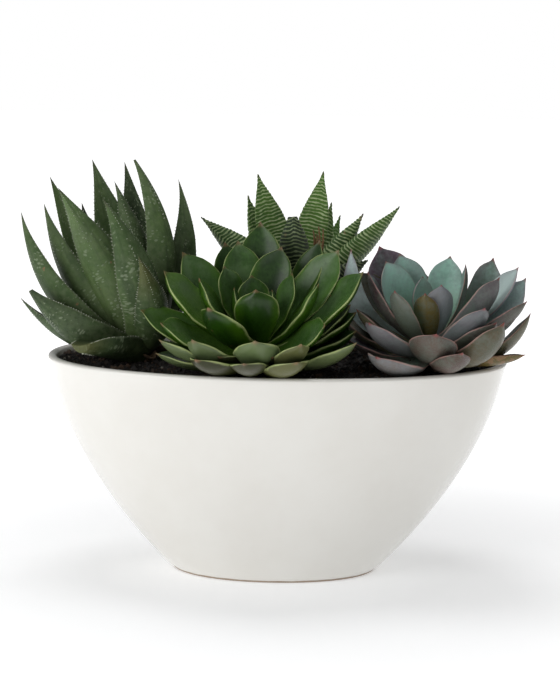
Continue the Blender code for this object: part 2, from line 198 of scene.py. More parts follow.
class Wire:
    """The output socket of a node."""

    def __init__(self, socket):
        self.socket = socket
        self.tree = socket.id_data

    def is_vector(self):
        return self.socket.type == "VECTOR"

    def apply(self, operation, *others):
        values = (self, *others)
        vector = any(isinstance(v, Wire) and v.is_vector() for v in values)
        node = self.tree.nodes.new("ShaderNodeVectorMath" if vector else "ShaderNodeMath")
        node.operation = operation
        for value, socket in zip(values, node.inputs):
            plug(value, socket)
        return Wire(node.outputs["Vector" if vector else "Value"])

    def __add__(self, other):
        return self.apply("ADD", other)

    def __sub__(self, other):
        return self.apply("SUBTRACT", other)

    def __rsub__(self, number):
        return self.apply("MULTIPLY", -1.0).apply("ADD", number)

    def __mul__(self, other):
        if isinstance(other, Wire) and other.is_vector():
            return other * self
        if not self.is_vector():
            return self.apply("MULTIPLY", other)
        node = self.tree.nodes.new("ShaderNodeVectorMath")
        node.operation = "SCALE"
        plug(self, node.inputs[0])
        plug(other, node.inputs["Scale"])
        return Wire(node.outputs["Vector"])

    def __pow__(self, other):
        return self.apply("POWER", other)

    def __abs__(self):
        return self.apply("ABSOLUTE")

    def __gt__(self, other):
        return self.apply("GREATER_THAN", other)

    def __lt__(self, other):
        return self.apply("LESS_THAN", other)

    __radd__ = __add__
    __rmul__ = __mul__

    def smooth(self, low, high, first=0.0, last=1.0):
        """Runs softly from first to last as the wire goes from low to high."""
        node = self.tree.nodes.new("ShaderNodeMapRange")
        node.interpolation_type = "SMOOTHSTEP"
        for name, value in (("From Min", low), ("From Max", high), ("To Min", first), ("To Max", last)):
            plug(value, node.inputs[name])
        plug(self, node.inputs["Value"])
        return Wire(node.outputs["Result"])

    def fade(self, low, high):
        """Runs softly from 1 down to 0."""
        return self.smooth(low, high, 1.0, 0.0)


def join_axes(x, y, z):
    """A vector wire from three single ones, at least one of which is a wire."""
    tree = next(v.tree for v in (x, y, z) if isinstance(v, Wire))
    node = tree.nodes.new("ShaderNodeCombineXYZ")
    for value, socket in zip((x, y, z), node.inputs):
        plug(value, socket)
    return Wire(node.outputs[0])


def cloud(place, scale, detail=0.0):
    """Smooth noise from 0 to 1 at a place."""
    node = place.tree.nodes.new("ShaderNodeTexNoise")
    node.inputs["Scale"].default_value = scale
    node.inputs["Detail"].default_value = detail
    plug(place, node.inputs["Vector"])
    return Wire(node.outputs[0])


print("wire helpers ready")

# %% [markdown]
# ## Geometry trees
# A tree is built once, with named inputs for its sizes. Using it takes three steps: the modifier's
# inputs are set by their identifiers, the result is read back as a plain mesh, and the modifier goes.

# %% Making and applying a geometry tree
KINDS = {float: "NodeSocketFloat", int: "NodeSocketInt"}


def new_tree(name, inputs):
    """An empty geometry tree. Gives the tree, its input wires by name and its output socket."""
    tree = bpy.data.node_groups.new(name, "GeometryNodeTree")
    tree.interface.new_socket("Geometry", in_out="INPUT", socket_type="NodeSocketGeometry")
    for label, value in inputs.items():
        kind = KINDS.get(type(value), "NodeSocketMaterial")
        socket = tree.interface.new_socket(label, in_out="INPUT", socket_type=kind)
        if value is not None:
            socket.default_value = value
    tree.interface.new_socket("Geometry", in_out="OUTPUT", socket_type="NodeSocketGeometry")
    entry = tree.nodes.new("NodeGroupInput")
    leave = tree.nodes.new("NodeGroupOutput")
    wires = {label: Wire(entry.outputs[label]) for label in ("Geometry", *inputs)}
    return tree, wires, leave.inputs[0]


def node(tree, kind, settings=(), **inputs):
    """Adds one node. Input names are written with underscores; settings are the node's own choices."""
    made = tree.nodes.new(kind)
    for name, value in dict(settings).items():
        setattr(made, name, value)
    for name, value in inputs.items():
        plug(value, made.inputs[name.replace("_", " ")])
    return made


def step(tree, kind, settings=(), **inputs):
    """Adds one node and gives its first output."""
    return Wire(node(tree, kind, settings, **inputs).outputs[0])


def named(tree, name, kind="FLOAT"):
    """Reads an attribute in a geometry tree."""
    return step(tree, "GeometryNodeInputNamedAttribute", {"data_type": kind}, Name=name)


def stored(geometry, name, value, domain="POINT"):
    """Writes a single value to an attribute in a geometry tree."""
    settings = {"data_type": "FLOAT", "domain": domain}
    store = "GeometryNodeStoreNamedAttribute"
    return step(geometry.tree, store, settings, Geometry=geometry, Name=name, Value=value)


def draw(tree, seed):
    """A seeded value from 0 to 1, another one for each point or instance."""
    made = node(tree, "FunctionNodeRandomValue", {"data_type": "FLOAT"}, Seed=seed)
    return Wire(made.outputs[1])


def close_tree(geometry, finish, out):
    """Ends a tree: the geometry gets its finish and goes to the output."""
    plug(step(geometry.tree, "GeometryNodeSetMaterial", Geometry=geometry, Material=finish), out)


def apply_tree(obj, tree, inputs):
    """Runs the tree on the object and keeps the result as its plain mesh."""
    modifier = obj.modifiers.new(tree.name, "NODES")
    modifier.node_group = tree
    identifiers = {i.name: i.identifier for i in tree.interface.items_tree if i.in_out == "INPUT"}
    for label, value in inputs.items():
        modifier[identifiers[label]] = value
    graph = bpy.context.evaluated_depsgraph_get()
    evaluated = obj.evaluated_get(graph)
    mesh = bpy.data.meshes.new_from_object(evaluated, preserve_all_data_layers=True, depsgraph=graph)
    obj.modifiers.remove(modifier)
    obj.data = mesh
    return obj


def triangles(obj):
    return sum(len(face.vertices) - 2 for face in obj.data.polygons)


print("tree helpers ready")

# %% [markdown]
# ## Finishes: shared effects
# All leaves have the same zones: a margin, a tip, a foot and a paler back. All of them, and the soil
# and the glaze too, are a little uneven in colour, and old leaves carry corky brown marks. Each
# effect is a shader group, built once and placed in each material with its own values.

# %% Making and using a shader group


def new_group(name, inputs, outputs):
    """An empty shader group. Gives the group, its input wires by name and its output sockets."""
    group = bpy.data.node_groups.new(name, "ShaderNodeTree")
    for label, value in inputs.items():
        socket = group.interface.new_socket(label, in_out="INPUT", socket_type="NodeSocketFloat")
        socket.default_value = value
    for label in outputs:
        group.interface.new_socket(label, in_out="OUTPUT", socket_type="NodeSocketFloat")
    entry = group.nodes.new("NodeGroupInput")
    leave = group.nodes.new("NodeGroupOutput")
    return group, {label: Wire(entry.outputs[label]) for label in inputs}, leave.inputs


def use_group(tree, group, values):
    """Places a group in a material. Gives its output wires by name."""
    made = tree.nodes.new("ShaderNodeGroup")
    made.node_tree = group
    for label, value in values.items():
        plug(value, made.inputs[label])
    return {socket.name: Wire(socket) for socket in made.outputs}


def marked(tree, name):
    """Reads a single-valued attribute in a material."""
    made = tree.nodes.new("ShaderNodeAttribute")
    made.attribute_name = name
    return Wire(made.outputs["Fac"])


def marks(tree, names):
    """Reads several attributes, whose names are written with spaces between them."""
    return [marked(tree, name) for name in names.split()]


def object_place(tree):
    return Wire(tree.nodes.new("ShaderNodeTexCoord").outputs["Object"])


def blend(amount, first, second):
    """Mixes two colours by an amount from 0 to 1, which is a wire."""
    made = amount.tree.nodes.new("ShaderNodeMix")
    made.data_type = "RGBA"
    plug(amount, made.inputs[0])
    plug(first, made.inputs[6])
    plug(second, made.inputs[7])
    return Wire(made.outputs[2])


print("group helpers ready")

# %% Shared effects
MARGIN_NOISE = 160.0
MARGIN_THIN, MARGIN_BROAD = 0.7, 1.25
TIP_ZONE, FOOT_ZONE = 0.04, 0.55
BACK_FULL, BACK_ENDS = -0.15, 0.1
GRAIN_FINENESS, CONTRAST_GAIN = 7.0, 2.6
SCARS_START, SCARS_SPREAD = 0.78, 0.25


def make_leaf_zones():
    """Masks for a leaf's margin, tip, foot and back, from where a place lies on the leaf."""
    inputs = {"Margin width": 0.3, "Tip start": 0.94}
    group, given, out = new_group("leaf_zones", inputs, ("Margin", "Tip", "Foot", "Back"))
    along, lift = marks(group, "along lift")
    uneven = cloud(object_place(group), MARGIN_NOISE, 2.0).smooth(0.3, 0.7, MARGIN_THIN, MARGIN_BROAD)
    plug(abs(lift).fade(0.0, given["Margin width"] * uneven), out["Margin"])
    plug(along.smooth(given["Tip start"], given["Tip start"] + TIP_ZONE), out["Tip"])
    plug(along.fade(0.0, FOOT_ZONE), out["Foot"])
    plug(lift.fade(BACK_FULL, BACK_ENDS), out["Back"])
    return group


def make_mottle():
    """Soft uneven patches, with a finer grain in them."""
    inputs = {"Patch size": 0.01, "Grain": 0.3, "Contrast": 1.0}
    group, given, out = new_group("mottle", inputs, ("Amount",))
    place = object_place(group).apply("DIVIDE", given["Patch size"])
    coarse = cloud(place, 1.0, 2.0) - 0.5
    fine = cloud(place, GRAIN_FINENESS, 2.0) - 0.5
    level = coarse * (1.0 - given["Grain"]) + fine * given["Grain"]
    plug((level * given["Contrast"] * CONTRAST_GAIN + 0.5).smooth(0.0, 1.0), out["Amount"])
    return group


def make_scars():
    """Corky brown marks: small irregular islands, more of them as Amount rises."""
    group, given, out = new_group("scars", {"Amount": 0.1, "Size": 0.004}, ("Mask",))
    place = object_place(group).apply("DIVIDE", given["Size"])
    islands = cloud(place, 0.8, 3.0)
    threshold = SCARS_START - given["Amount"] * SCARS_SPREAD
    plug((islands - threshold).smooth(0.0, 0.03), out["Mask"])
    return group


LEAF_ZONES = make_leaf_zones()
MOTTLE = make_mottle()
SCARS = make_scars()


def leaf_zones(tree, margin, tip):
    return use_group(tree, LEAF_ZONES, {"Margin width": margin, "Tip start": tip})


def mottle(tree, size, grain=0.3, contrast=1.0):
    values = {"Patch size": size, "Grain": grain, "Contrast": contrast}
    return use_group(tree, MOTTLE, values)["Amount"]


print("groups:", [g.name for g in (LEAF_ZONES, MOTTLE, SCARS)])

# %% [markdown]
# ## The leaf
# A succulent's leaf is a fleshy tongue: hollow above, rounded below, on a midrib that bends once.
# All four plants are made of such leaves, so one function makes a tree for each of three outlines.
# A leaf is a single point that carries its foot, bend, tip, side and width. The tree puts a closed
# sleeve on every point and bends it along the midrib, and a curve gives the width along the leaf.

# %% The midrib and its formula
LEAF_VECTORS = ("foot", "knee", "tip", "side")


def midrib(tree, s):
    """The point, heading and upward direction of a leaf's midrib at a share s of its length."""
    foot, knee, tip, side = (named(tree, name, "FLOAT_VECTOR") for name in LEAF_VECTORS)
    rest = 1.0 - s
    point = foot * (rest * rest) + knee * (s * rest * 2.0) + tip * (s * s)
    heading = (knee - foot) * rest + (tip - knee) * s
    heading = heading.apply("NORMALIZE")
    up = heading.apply("CROSS_PRODUCT", side).apply("NORMALIZE")
    return point, heading, up, side


def outline_curve(s, points):
    """The share of the full width along the leaf, drawn as a curve through points."""
    made = node(s.tree, "ShaderNodeFloatCurve", Value=s)
    curve = made.mapping.curves[0]
    while len(curve.points) < len(points):
        curve.points.new(0.5, 0.5)
    for place, (x, y) in zip(curve.points, points):
        place.location = (x, y)
        place.handle_type = "AUTO_CLAMPED"
    made.mapping.update()
    return Wire(made.outputs[0])


print("a leaf point carries:", LEAF_VECTORS)

# %% The leaf tree
TIP_CROWDING = 1.35
RIPPLE_TURNS, RIPPLE_SHIFT, RIPPLE_SLANT = 17.0, 40.0, 1.5
BELLY_ROUND, BELLY_FILL, BELLY_THINS = 1.2, 0.7, 0.45
PILLOW_ROUND = 0.6
MERGE_WITHIN = 0.01 * MM
SECTION_PLACES = ("along", "across", "lift")


def sleeve(tree, given):
    """A closed sleeve of radius 1 and length 1 for each leaf, with its places stored."""
    tube = step(
        tree, "GeometryNodeMeshCylinder", {"fill_type": "NGON"}, Radius=1.0, Depth=1.0,
        Vertices=given["Corners"], Side_Segments=given["Sections"],
    )
    copies = step(tree, "GeometryNodeInstanceOnPoints", Points=given["Geometry"], Instance=tube)
    tubes = step(tree, "GeometryNodeRealizeInstances", Geometry=copies)
    place = step(tree, "GeometryNodeInputPosition")
    axes = node(tree, "ShaderNodeSeparateXYZ", Vector=place)
    across, lift, z = (Wire(socket) for socket in axes.outputs)
    along = (1.0 - (0.5 - z).apply("MAXIMUM", 0.0) ** TIP_CROWDING) * named(tree, "cut")
    for name, value in zip(SECTION_PLACES, (along, across, lift)):
        tubes = stored(tubes, name, value)
    return tubes


def new_leaf_tree(name, outline, relief=None):
    """Bends a sleeve into each leaf: a hollow upper face over a rounded back, with a relief on it."""
    sizes = {"Sections": 36, "Corners": 20, "Thickness": 0.22, "Cup": 0.13, "Plumpness": 0.05}
    sizes.update({"Wave": 0.01, "Finish": None})
    tree, given, out = new_tree(name, sizes)
    tubes = sleeve(tree, given)
    along, across, lift = (named(tree, place) for place in SECTION_PLACES)
    width, luck = named(tree, "width"), named(tree, "luck")
    point, _, up, side = midrib(tree, along)
    share = outline_curve(along, outline)
    edge = across * across
    depth = abs(lift)
    on_top = lift > 0.0
    belly = depth**BELLY_ROUND * given["Thickness"] * share**BELLY_FILL * (1.0 - along * BELLY_THINS)
    pillow = depth**PILLOW_ROUND * given["Plumpness"] * share
    ripple = along * RIPPLE_TURNS + luck * RIPPLE_SHIFT + across * RIPPLE_SLANT
    ripple = ripple.apply("SINE") * given["Wave"] * edge
    height = (edge * given["Cup"] + ripple) * share + on_top * pillow - (1.0 - on_top) * belly
    place = point + side * (across * width * share * 0.5) + up * (height * width)
    bent = step(tree, "GeometryNodeSetPosition", Geometry=tubes, Position=place)
    if relief:
        lifted = step(tree, "GeometryNodeInputNormal") * relief(tree)
        bent = step(tree, "GeometryNodeSetPosition", Geometry=bent, Offset=lifted)
    closed = step(tree, "GeometryNodeMergeByDistance", Geometry=bent, Distance=MERGE_WITHIN)
    soft = step(tree, "GeometryNodeSetShadeSmooth", Geometry=closed)
    close_tree(soft, given["Finish"], out)
    return tree


SPOON_OUTLINE = [
    (0, 0.45), (0.16, 0.57), (0.32, 0.77), (0.48, 0.94), (0.62, 1), (0.75, 0.95), (0.84, 0.79),
    (0.90, 0.55), (0.94, 0.30), (0.965, 0.14), (0.985, 0.06), (1, 0),
]
LANCE_OUTLINE = [
    (0, 0.80), (0.2, 0.93), (0.4, 1), (0.53, 0.94), (0.65, 0.77), (0.75, 0.56), (0.84, 0.34),
    (0.92, 0.155), (0.97, 0.055), (1, 0),
]
DAGGER_OUTLINE = [
    (0, 0.88), (0.25, 0.97), (0.46, 1), (0.60, 0.92), (0.70, 0.75), (0.79, 0.53), (0.88, 0.28),
    (0.94, 0.12), (0.98, 0.045), (1, 0),
]
SPOON = new_leaf_tree("spoon_leaves", SPOON_OUTLINE)
LANCE = new_leaf_tree("lance_leaves", LANCE_OUTLINE)
BAND_SPACING = 2.0 * MM
BAND_HEIGHT = 0.35 * MM
BAND_SLANT, CHEVRON_SLANT = 0.3, 0.8
BAND_WANDER, BAND_BEADS, BAND_SHIFT = 0.8, 0.7, 50.0


def band_level(tree, read):
    """0 to 1 on the zebra plant's raised bands: wavy, broken here and there, chevrons on the back."""
    names = ("along", "across", "lift", "reach", "luck")
    along, across, lift, reach, luck = (read(tree, name) for name in names)
    rows = along * reach * (1 / BAND_SPACING)
    on_back = lift.fade(-0.3, 0.1)
    slant = abs(across) * (on_back * CHEVRON_SLANT + BAND_SLANT)
    wander = cloud(join_axes(across * 1.7, rows * 0.3, luck * BAND_SHIFT), 1.0) - 0.5
    phase = rows + slant + wander * BAND_WANDER
    row = phase.apply("FLOOR")
    beat = 1.0 - abs((phase - row) * 2.0 - 1.0)
    beads = cloud(join_axes(across * 4.5, row * 3.7, luck * BAND_SHIFT), 1.0) - 0.5
    return (beat + beads * BAND_BEADS).smooth(0.5, 0.8) * along.smooth(0.02, 0.1)


def raised_bands(tree):
    return band_level(tree, named) * BAND_HEIGHT


DAGGER = new_leaf_tree("dagger_leaves", DAGGER_OUTLINE, raised_bands)
print("leaf trees:", [(t.name, len(t.nodes)) for t in (SPOON, LANCE, DAGGER)])

# %% A plant's leaves as points
LEAF_VALUES = ("width", "reach", "cut", "teeth", "luck", "tone", "blush", "warm", "dry")
USUAL = {"cut": 1.0, "teeth": 1.0, "blush": 0.0, "warm": 0.0, "dry": 0.1}
TONE_SPREAD = 0.2
DROP_CURVE = 1.3


class Plant:
    """A rosette: where its leaves meet, how its axis leans, and the proportions of its leaves."""

    def __init__(self, name, middle, lean, belly, foot, drop):
        self.name = name
        self.middle = Vector(middle) * MM
        right, back = (math.tan(math.radians(angle)) for angle in lean)
        self.axis = Vector((right, back, 1)).normalized()
        self.belly = belly
        self.foot = foot * MM
        self.drop = drop * MM

    def leaf(self, x, y, z, width, bearing=None, bow=None, sway=0):
        """The leaf's foot, knee, tip and side, its width, and how far it leans out, from 0 to 1."""
        tip = Vector((x, y, z)) * MM
        out = tip
        if bearing is not None:
            out = Vector((math.cos(math.radians(bearing)), math.sin(math.radians(bearing)), 0))
        out = (out - self.axis * out.dot(self.axis)).normalized()
        leaning = tip.angle(self.axis) / (math.pi / 2)
        foot = self.middle + out * self.foot - self.axis * self.drop * leaning**DROP_CURVE
        chord = self.middle + tip - foot
        along = chord.normalized()
        side = self.axis.cross(out)
        side = (side - along * side.dot(along)).normalized()
        bow = self.belly * chord.length if bow is None else bow * MM
        knee = foot + chord / 2 + (side.cross(along) * bow + side * sway * MM) * 2
        return foot, knee, foot + chord, side, width * MM, leaning


def leaf_points(plant, rows, looks, rng):
    """A mesh of one point for each leaf, which carries the leaf's vectors and values.

    The looks give leaves, by their number in the rows, values other than the usual ones.
    """
    mesh = bpy.data.meshes.new(plant.name)
    mesh.from_pydata([(0, 0, 0)] * len(rows), [], [])
    leaves = [plant.leaf(*row) for row in rows]
    for i, name in enumerate(LEAF_VECTORS):
        layer = mesh.attributes.new(name, "FLOAT_VECTOR", "POINT")
        layer.data.foreach_set("vector", [c for leaf in leaves for c in leaf[i]])
    table = {name: [] for name in LEAF_VALUES}
    for i, leaf in enumerate(leaves):
        values = dict(USUAL, width=leaf[4], reach=(leaf[2] - leaf[0]).length, luck=rng.random())
        values["tone"] = 0.5 - leaf[5] + rng.uniform(-TONE_SPREAD, TONE_SPREAD)
        for name in LEAF_VALUES:
            table[name].append(looks.get(name, {}).get(i, values[name]))
    for name, column in table.items():
        mesh.attributes.new(name, "FLOAT", "POINT").data.foreach_set("value", column)
    return add_object(plant.name, mesh)


HIDDEN_TURN = 5
HIDDEN_REACHES, HIDDEN_RISES = (0.92, 1.08), (0.9, 1.1)


def hidden_leaves(rng, count, first, last, reach, rise, width):
    """Leaves that the front view doesn't show, spread evenly between two bearings."""
    leaves = []
    for i in range(count):
        turn = rng.uniform(-HIDDEN_TURN, HIDDEN_TURN)
        bearing = math.radians(first + (last - first) * (i + 0.5) / count + turn)
        length = reach * rng.uniform(*HIDDEN_REACHES)
        height = rise * rng.uniform(*HIDDEN_RISES)
        leaves.append((length * math.cos(bearing), length * math.sin(bearing), height, width))
    return leaves


CAD_SEED, LOOK_SEED = 7, 11
cad_rng = random.Random(CAD_SEED)
look_rng = random.Random(LOOK_SEED)
aloe_hidden = hidden_leaves(cad_rng, 5, 35, 150, 42, 54, 20)
green_hidden = hidden_leaves(cad_rng, 6, 10, 170, 33, 12, 20)
blue_hidden = hidden_leaves(cad_rng, 6, 0, 180, 42, 12, 20)
zebra_hidden = hidden_leaves(cad_rng, 6, 20, 160, 40, 22, 16)
zebra_hidden += hidden_leaves(cad_rng, 5, 0, 180, 36, -4, 16)
zebra_hidden += hidden_leaves(cad_rng, 3, 200, 340, 24, 6, 14)
print("leaves at the back:", len(aloe_hidden + green_hidden + blue_hidden + zebra_hidden))

# %% [markdown]
# ## Leaf finishes
# A leaf's colour runs from its pale foot to its tip, its margin is a thin line of another colour,
# and its back is paler; on the echeverias the paler foot is partly painted backlight. Each leaf also
# has its own tone, blush and dryness, set for the leaves that can be told apart in the picture; a few
# tones are painted shade or painted light. The colours stay in the materials; the masks are shared.

# %% A material, and what all leaves have in common
CORK = (0.23, 0.13, 0.06)
TONE_PATCH, TONE_UNEVEN = 0.012, 0.5


def new_material(name, roughness, **constants):
    """A Principled material with its even values set on the shader. Gives material, tree and shader."""
    made = bpy.data.materials.new(name)
    made.use_nodes = True
    shader = made.node_tree.nodes["Principled BSDF"]
    shader.inputs["Roughness"].default_value = roughness
    for label, value in constants.items():
        shader.inputs[label.replace("_", " ")].default_value = value
    return made, made.node_tree, shader


def dress(shader, colour, roughness=None, height=None, distance=0.0):
    """Gives a shader its colour, and its roughness and bumps where they vary."""
    plug(colour, shader.inputs["Base Color"])
    if roughness:
        plug(roughness, shader.inputs["Roughness"])
    if height:
        bump = node(shader.id_data, "ShaderNodeBump", Height=height, Distance=distance, Strength=1.0)
        plug(Wire(bump.outputs[0]), shader.inputs["Normal"])


def toned(tree, dark, middle, light):
    """The leaf's own tone between three colours, with soft patches."""
    tone = marked(tree, "tone") + (mottle(tree, TONE_PATCH, 0.35) - 0.5) * TONE_UNEVEN
    return blend(tone.smooth(0.0, 0.9), blend(tone.smooth(-0.7, 0.15), dark, middle), light)


def corky(tree, colour, size):
    """Adds the corky marks of an old leaf."""
    spots = use_group(tree, SCARS, {"Amount": marked(tree, "dry"), "Size": size})["Mask"]
    return blend(spots * 0.8, colour, CORK)


print("leaf material helpers ready")

# %% Green echeveria: glossy, with pale margins and red-brown points


def make_green_finish():
    made, tree, shader = new_material(
        "glossy_green_leaf", 0.3, Coat_Weight=0.55, Coat_Roughness=0.3, Specular_IOR_Level=0.05
    )
    along, across, tone, blush, warm, dry = marks(tree, "along across tone blush warm dry")
    zones = leaf_zones(tree, 0.4, 0.945)
    colour = toned(tree, (0.017, 0.046, 0.010), (0.060, 0.140, 0.030), (0.120, 0.240, 0.045))
    inner_back = toned(tree, (0.005, 0.018, 0.002), (0.013, 0.046, 0.002), (0.032, 0.092, 0.003))
    colour = blend(zones["Back"], colour, inner_back)
    # Painted backlight: the foot and the broad margins turn bright yellow-green, as if light shone
    # through the leaf.
    edge = abs(across).smooth(0.45, 1.0)
    glow = zones["Foot"] * 0.6 + edge * 0.45 * along.smooth(0.5, 1.0, 1.0, 0.3)
    colour = blend(glow, colour, (0.095, 0.23, 0.005))
    # Painted sheen: a pale bluish-grey tint over the upper half of the upper face, where gloss would
    # shine.
    bloom_and_sheen = mottle(tree, 0.014, 0.2, 2.0) * along.smooth(0.45, 0.85) * (1.0 - edge)
    bloom_and_sheen = bloom_and_sheen * (1.0 - zones["Back"]) * tone.smooth(-0.6, 0.1, 0.2, 1.0)
    colour = blend(bloom_and_sheen * 0.5, colour, (0.16, 0.25, 0.12))
    underside = blend(blush, (0.155, 0.210, 0.090), (0.026, 0.030, 0.010))
    underside = blend(warm, underside, (0.16, 0.14, 0.04))
    colour = blend(zones["Back"] * blush.smooth(0.0, 0.12), colour, underside)
    colour = blend(zones["Margin"] * 0.9, colour, (0.50, 0.58, 0.24))
    colour = corky(tree, colour, 0.004)
    colour = blend(zones["Tip"] * (0.5 + dry), colour, (0.27, 0.15, 0.08))
    grain = mottle(tree, 0.0016, 0.5)
    dress(shader, colour, zones["Back"] * 0.12 + grain * 0.1 + 0.22, grain, 0.00012)
    return made


GREEN_FINISH = make_green_finish()
print("made", GREEN_FINISH.name)

# %% Blue-grey echeveria: a waxy bloom over teal and purple, with rosy margins


def make_blue_finish():
    made, tree, shader = new_material(
        "waxy_blue_leaf", 0.48, Coat_Weight=0.3, Coat_Roughness=0.25, Specular_IOR_Level=0.2
    )
    along, across, tone, own_blush, warm = marks(tree, "along across tone blush warm")
    zones = leaf_zones(tree, 0.28, 0.95)
    patches = mottle(tree, 0.009, 0.4, 1.3)
    colour = toned(tree, (0.045, 0.062, 0.050), (0.165, 0.280, 0.225), (0.38, 0.68, 0.56))
    # Partly the leaf's own paler foot, partly painted light: a mint glow at the foot that brightens the
    # shaded cup.
    mint_and_painted_glow = along.fade(0.15, 0.75) * (0.35 + patches * 0.5)
    colour = blend(mint_and_painted_glow, colour, (0.34, 0.54, 0.26))
    # Partly pale bloom, partly painted sheen: leaves of the highest tone turn whitish, which also lifts
    # leaves that lie in shade.
    colour = blend(tone.smooth(0.9, 1.9), colour, (0.62, 0.72, 0.72))
    blush = own_blush * (0.4 + patches)
    dusk = blush + along.smooth(0.6, 1.0) * abs(across).smooth(0.2, 0.9) * 0.35
    colour = blend(dusk, colour, (0.175, 0.100, 0.150))
    bloom_and_sheen = mottle(tree, 0.016, 0.55, 1.8)
    colour = blend(bloom_and_sheen * 0.2, colour, (0.42, 0.50, 0.52))
    underside = blend(blush, (0.095, 0.108, 0.075), (0.068, 0.036, 0.036))
    underside = blend(tone.smooth(0.5, 1.5), underside, (0.25, 0.25, 0.30))
    underside = blend(bloom_and_sheen * 0.15, underside, (0.26, 0.25, 0.24))
    colour = blend(zones["Back"] * 0.9, colour, underside)
    colour = blend(warm * (0.45 + patches * 0.7), colour, (0.120, 0.090, 0.022))
    colour = blend(zones["Margin"] * (0.55 + blush * 0.3), colour, (0.60, 0.34, 0.29))
    colour = corky(tree, colour, 0.003)
    colour = blend(zones["Tip"] * 0.8, colour, (0.26, 0.055, 0.050))
    grain = mottle(tree, 0.0012, 0.6)
    dress(shader, colour, bloom_and_sheen * 0.2 + grain * 0.08 + 0.3, grain, 0.0001)
    return made


BLUE_FINISH = make_blue_finish()
print("made", BLUE_FINISH.name)

# %% Aloe: matte grey-green with rows of pale flecks
# how often each of these comes on a metre of leaf
FLECK_ROWS, FLECK_CLUSTERS, FLECK_DRIFTS, STREAKS = 680.0, 130.0, 60.0, 22.0
FLECK_SHIFT = 30.0


def flecks(tree):
    """Short pale dashes that lie across the leaf in loose rows."""
    along, across, reach, own_luck, lift = marks(tree, "along across reach luck lift")
    run, luck = along * reach, own_luck * FLECK_SHIFT
    drift = cloud(join_axes(across * 1.3, run * FLECK_DRIFTS, luck), 1.0) - 0.5
    place = join_axes(across * 4.6 + luck, run * FLECK_ROWS + drift * 4.0, lift.apply("SIGN"))
    cell = node(tree, "ShaderNodeTexVoronoi", Vector=place, Scale=1.0, Randomness=0.8)
    thick = cloud(join_axes(across * 2.0, run * FLECK_CLUSTERS, luck), 1.0)
    room = (thick - 0.27) * along.smooth(0.0, 0.35) * 0.95
    return (Wire(cell.outputs["Distance"]) - room).fade(-0.08, 0.06)


def make_aloe_finish():
    made, tree, shader = new_material("flecked_aloe_leaf", 0.5, Specular_IOR_Level=0.3)
    along, across, reach, own_luck, teeth, warm = marks(tree, "along across reach luck teeth warm")
    zones = leaf_zones(tree, 0.2, 0.93)
    colour = toned(tree, (0.019, 0.038, 0.011), (0.052, 0.095, 0.028), (0.105, 0.168, 0.055))
    colour = blend(mottle(tree, 0.02, 0.6, 1.8) * 0.3, colour, (0.15, 0.19, 0.10))
    run, luck = along * reach, own_luck * FLECK_SHIFT
    streak = cloud(join_axes(across * 2.6 + luck, run * STREAKS, luck), 1.0, 2.0)
    colour = blend(streak.smooth(0.48, 0.72) * 0.5, colour, (0.016, 0.032, 0.010))
    colour = blend(zones["Foot"] * 0.25, colour, (0.11, 0.14, 0.045))
    pale = flecks(tree)
    colour = blend(pale * 0.4, colour, (0.32, 0.38, 0.25))
    colour = blend(zones["Margin"] * teeth * 0.45, colour, (0.22, 0.26, 0.16))
    colour = blend(warm * along.smooth(0.55, 0.95), colour, (0.115, 0.105, 0.022))
    colour = corky(tree, colour, 0.005)
    colour = blend(zones["Tip"] * 0.5, colour, (0.06, 0.05, 0.03))
    grain = mottle(tree, 0.0015, 0.6)
    dress(shader, colour, grain * 0.14 + 0.45, pale * 0.8 + grain * 0.5, 0.0002)
    return made


def make_tooth_finish():
    made, tree, shader = new_material("pale_tooth", 0.45)
    dress(shader, blend(mottle(tree, 0.004), (0.42, 0.46, 0.36), (0.62, 0.64, 0.52)))
    return made


ALOE_FINISH = make_aloe_finish()
TOOTH_FINISH = make_tooth_finish()
print("made", ALOE_FINISH.name, TOOTH_FINISH.name)

# %% Zebra plant: dark green under white bands


def make_zebra_finish():
    made, tree, shader = new_material("banded_zebra_leaf", 0.42)
    tone, warm, dry = marks(tree, "tone warm dry")
    zones = leaf_zones(tree, 0.12, 0.95)
    colour = toned(tree, (0.010, 0.030, 0.004), (0.030, 0.092, 0.009), (0.080, 0.195, 0.018))
    colour = blend(zones["Foot"] * 0.3, colour, (0.08, 0.16, 0.03))
    colour = corky(tree, colour, 0.004)
    band = band_level(tree, marked)
    band = band * tone.smooth(1.0, 1.4, 1.0, 0.25) * tone.smooth(-0.8, 0.2, 0.5, 1.0)
    white = blend(mottle(tree, 0.004), (0.36, 0.48, 0.20), (0.62, 0.74, 0.40))
    colour = blend(band * 0.9, colour, white)
    colour = blend(warm, colour, (0.42, 0.23, 0.11))
    colour = blend(zones["Tip"] * (0.3 + dry), colour, (0.10, 0.055, 0.03))
    grain = mottle(tree, 0.0012, 0.6)
    dress(shader, colour, band * 0.2 + 0.36, band * 2.0 + grain, 0.0001)
    return made


ZEBRA_FINISH = make_zebra_finish()
print("made", ZEBRA_FINISH.name)

# %% [markdown]
# ## The aloe
# A fan of long, thick leaves with tiny white teeth along both margins. The teeth repeat by a rule,
# so a second tree puts a small cone on each point of a margin, turned outwards and to the tip.
# Each row gives a leaf's tip to the right, to the back and up from the plant's middle, and its
# width, in mm; then, for some, the bearing that its back faces, its bow and its sway.

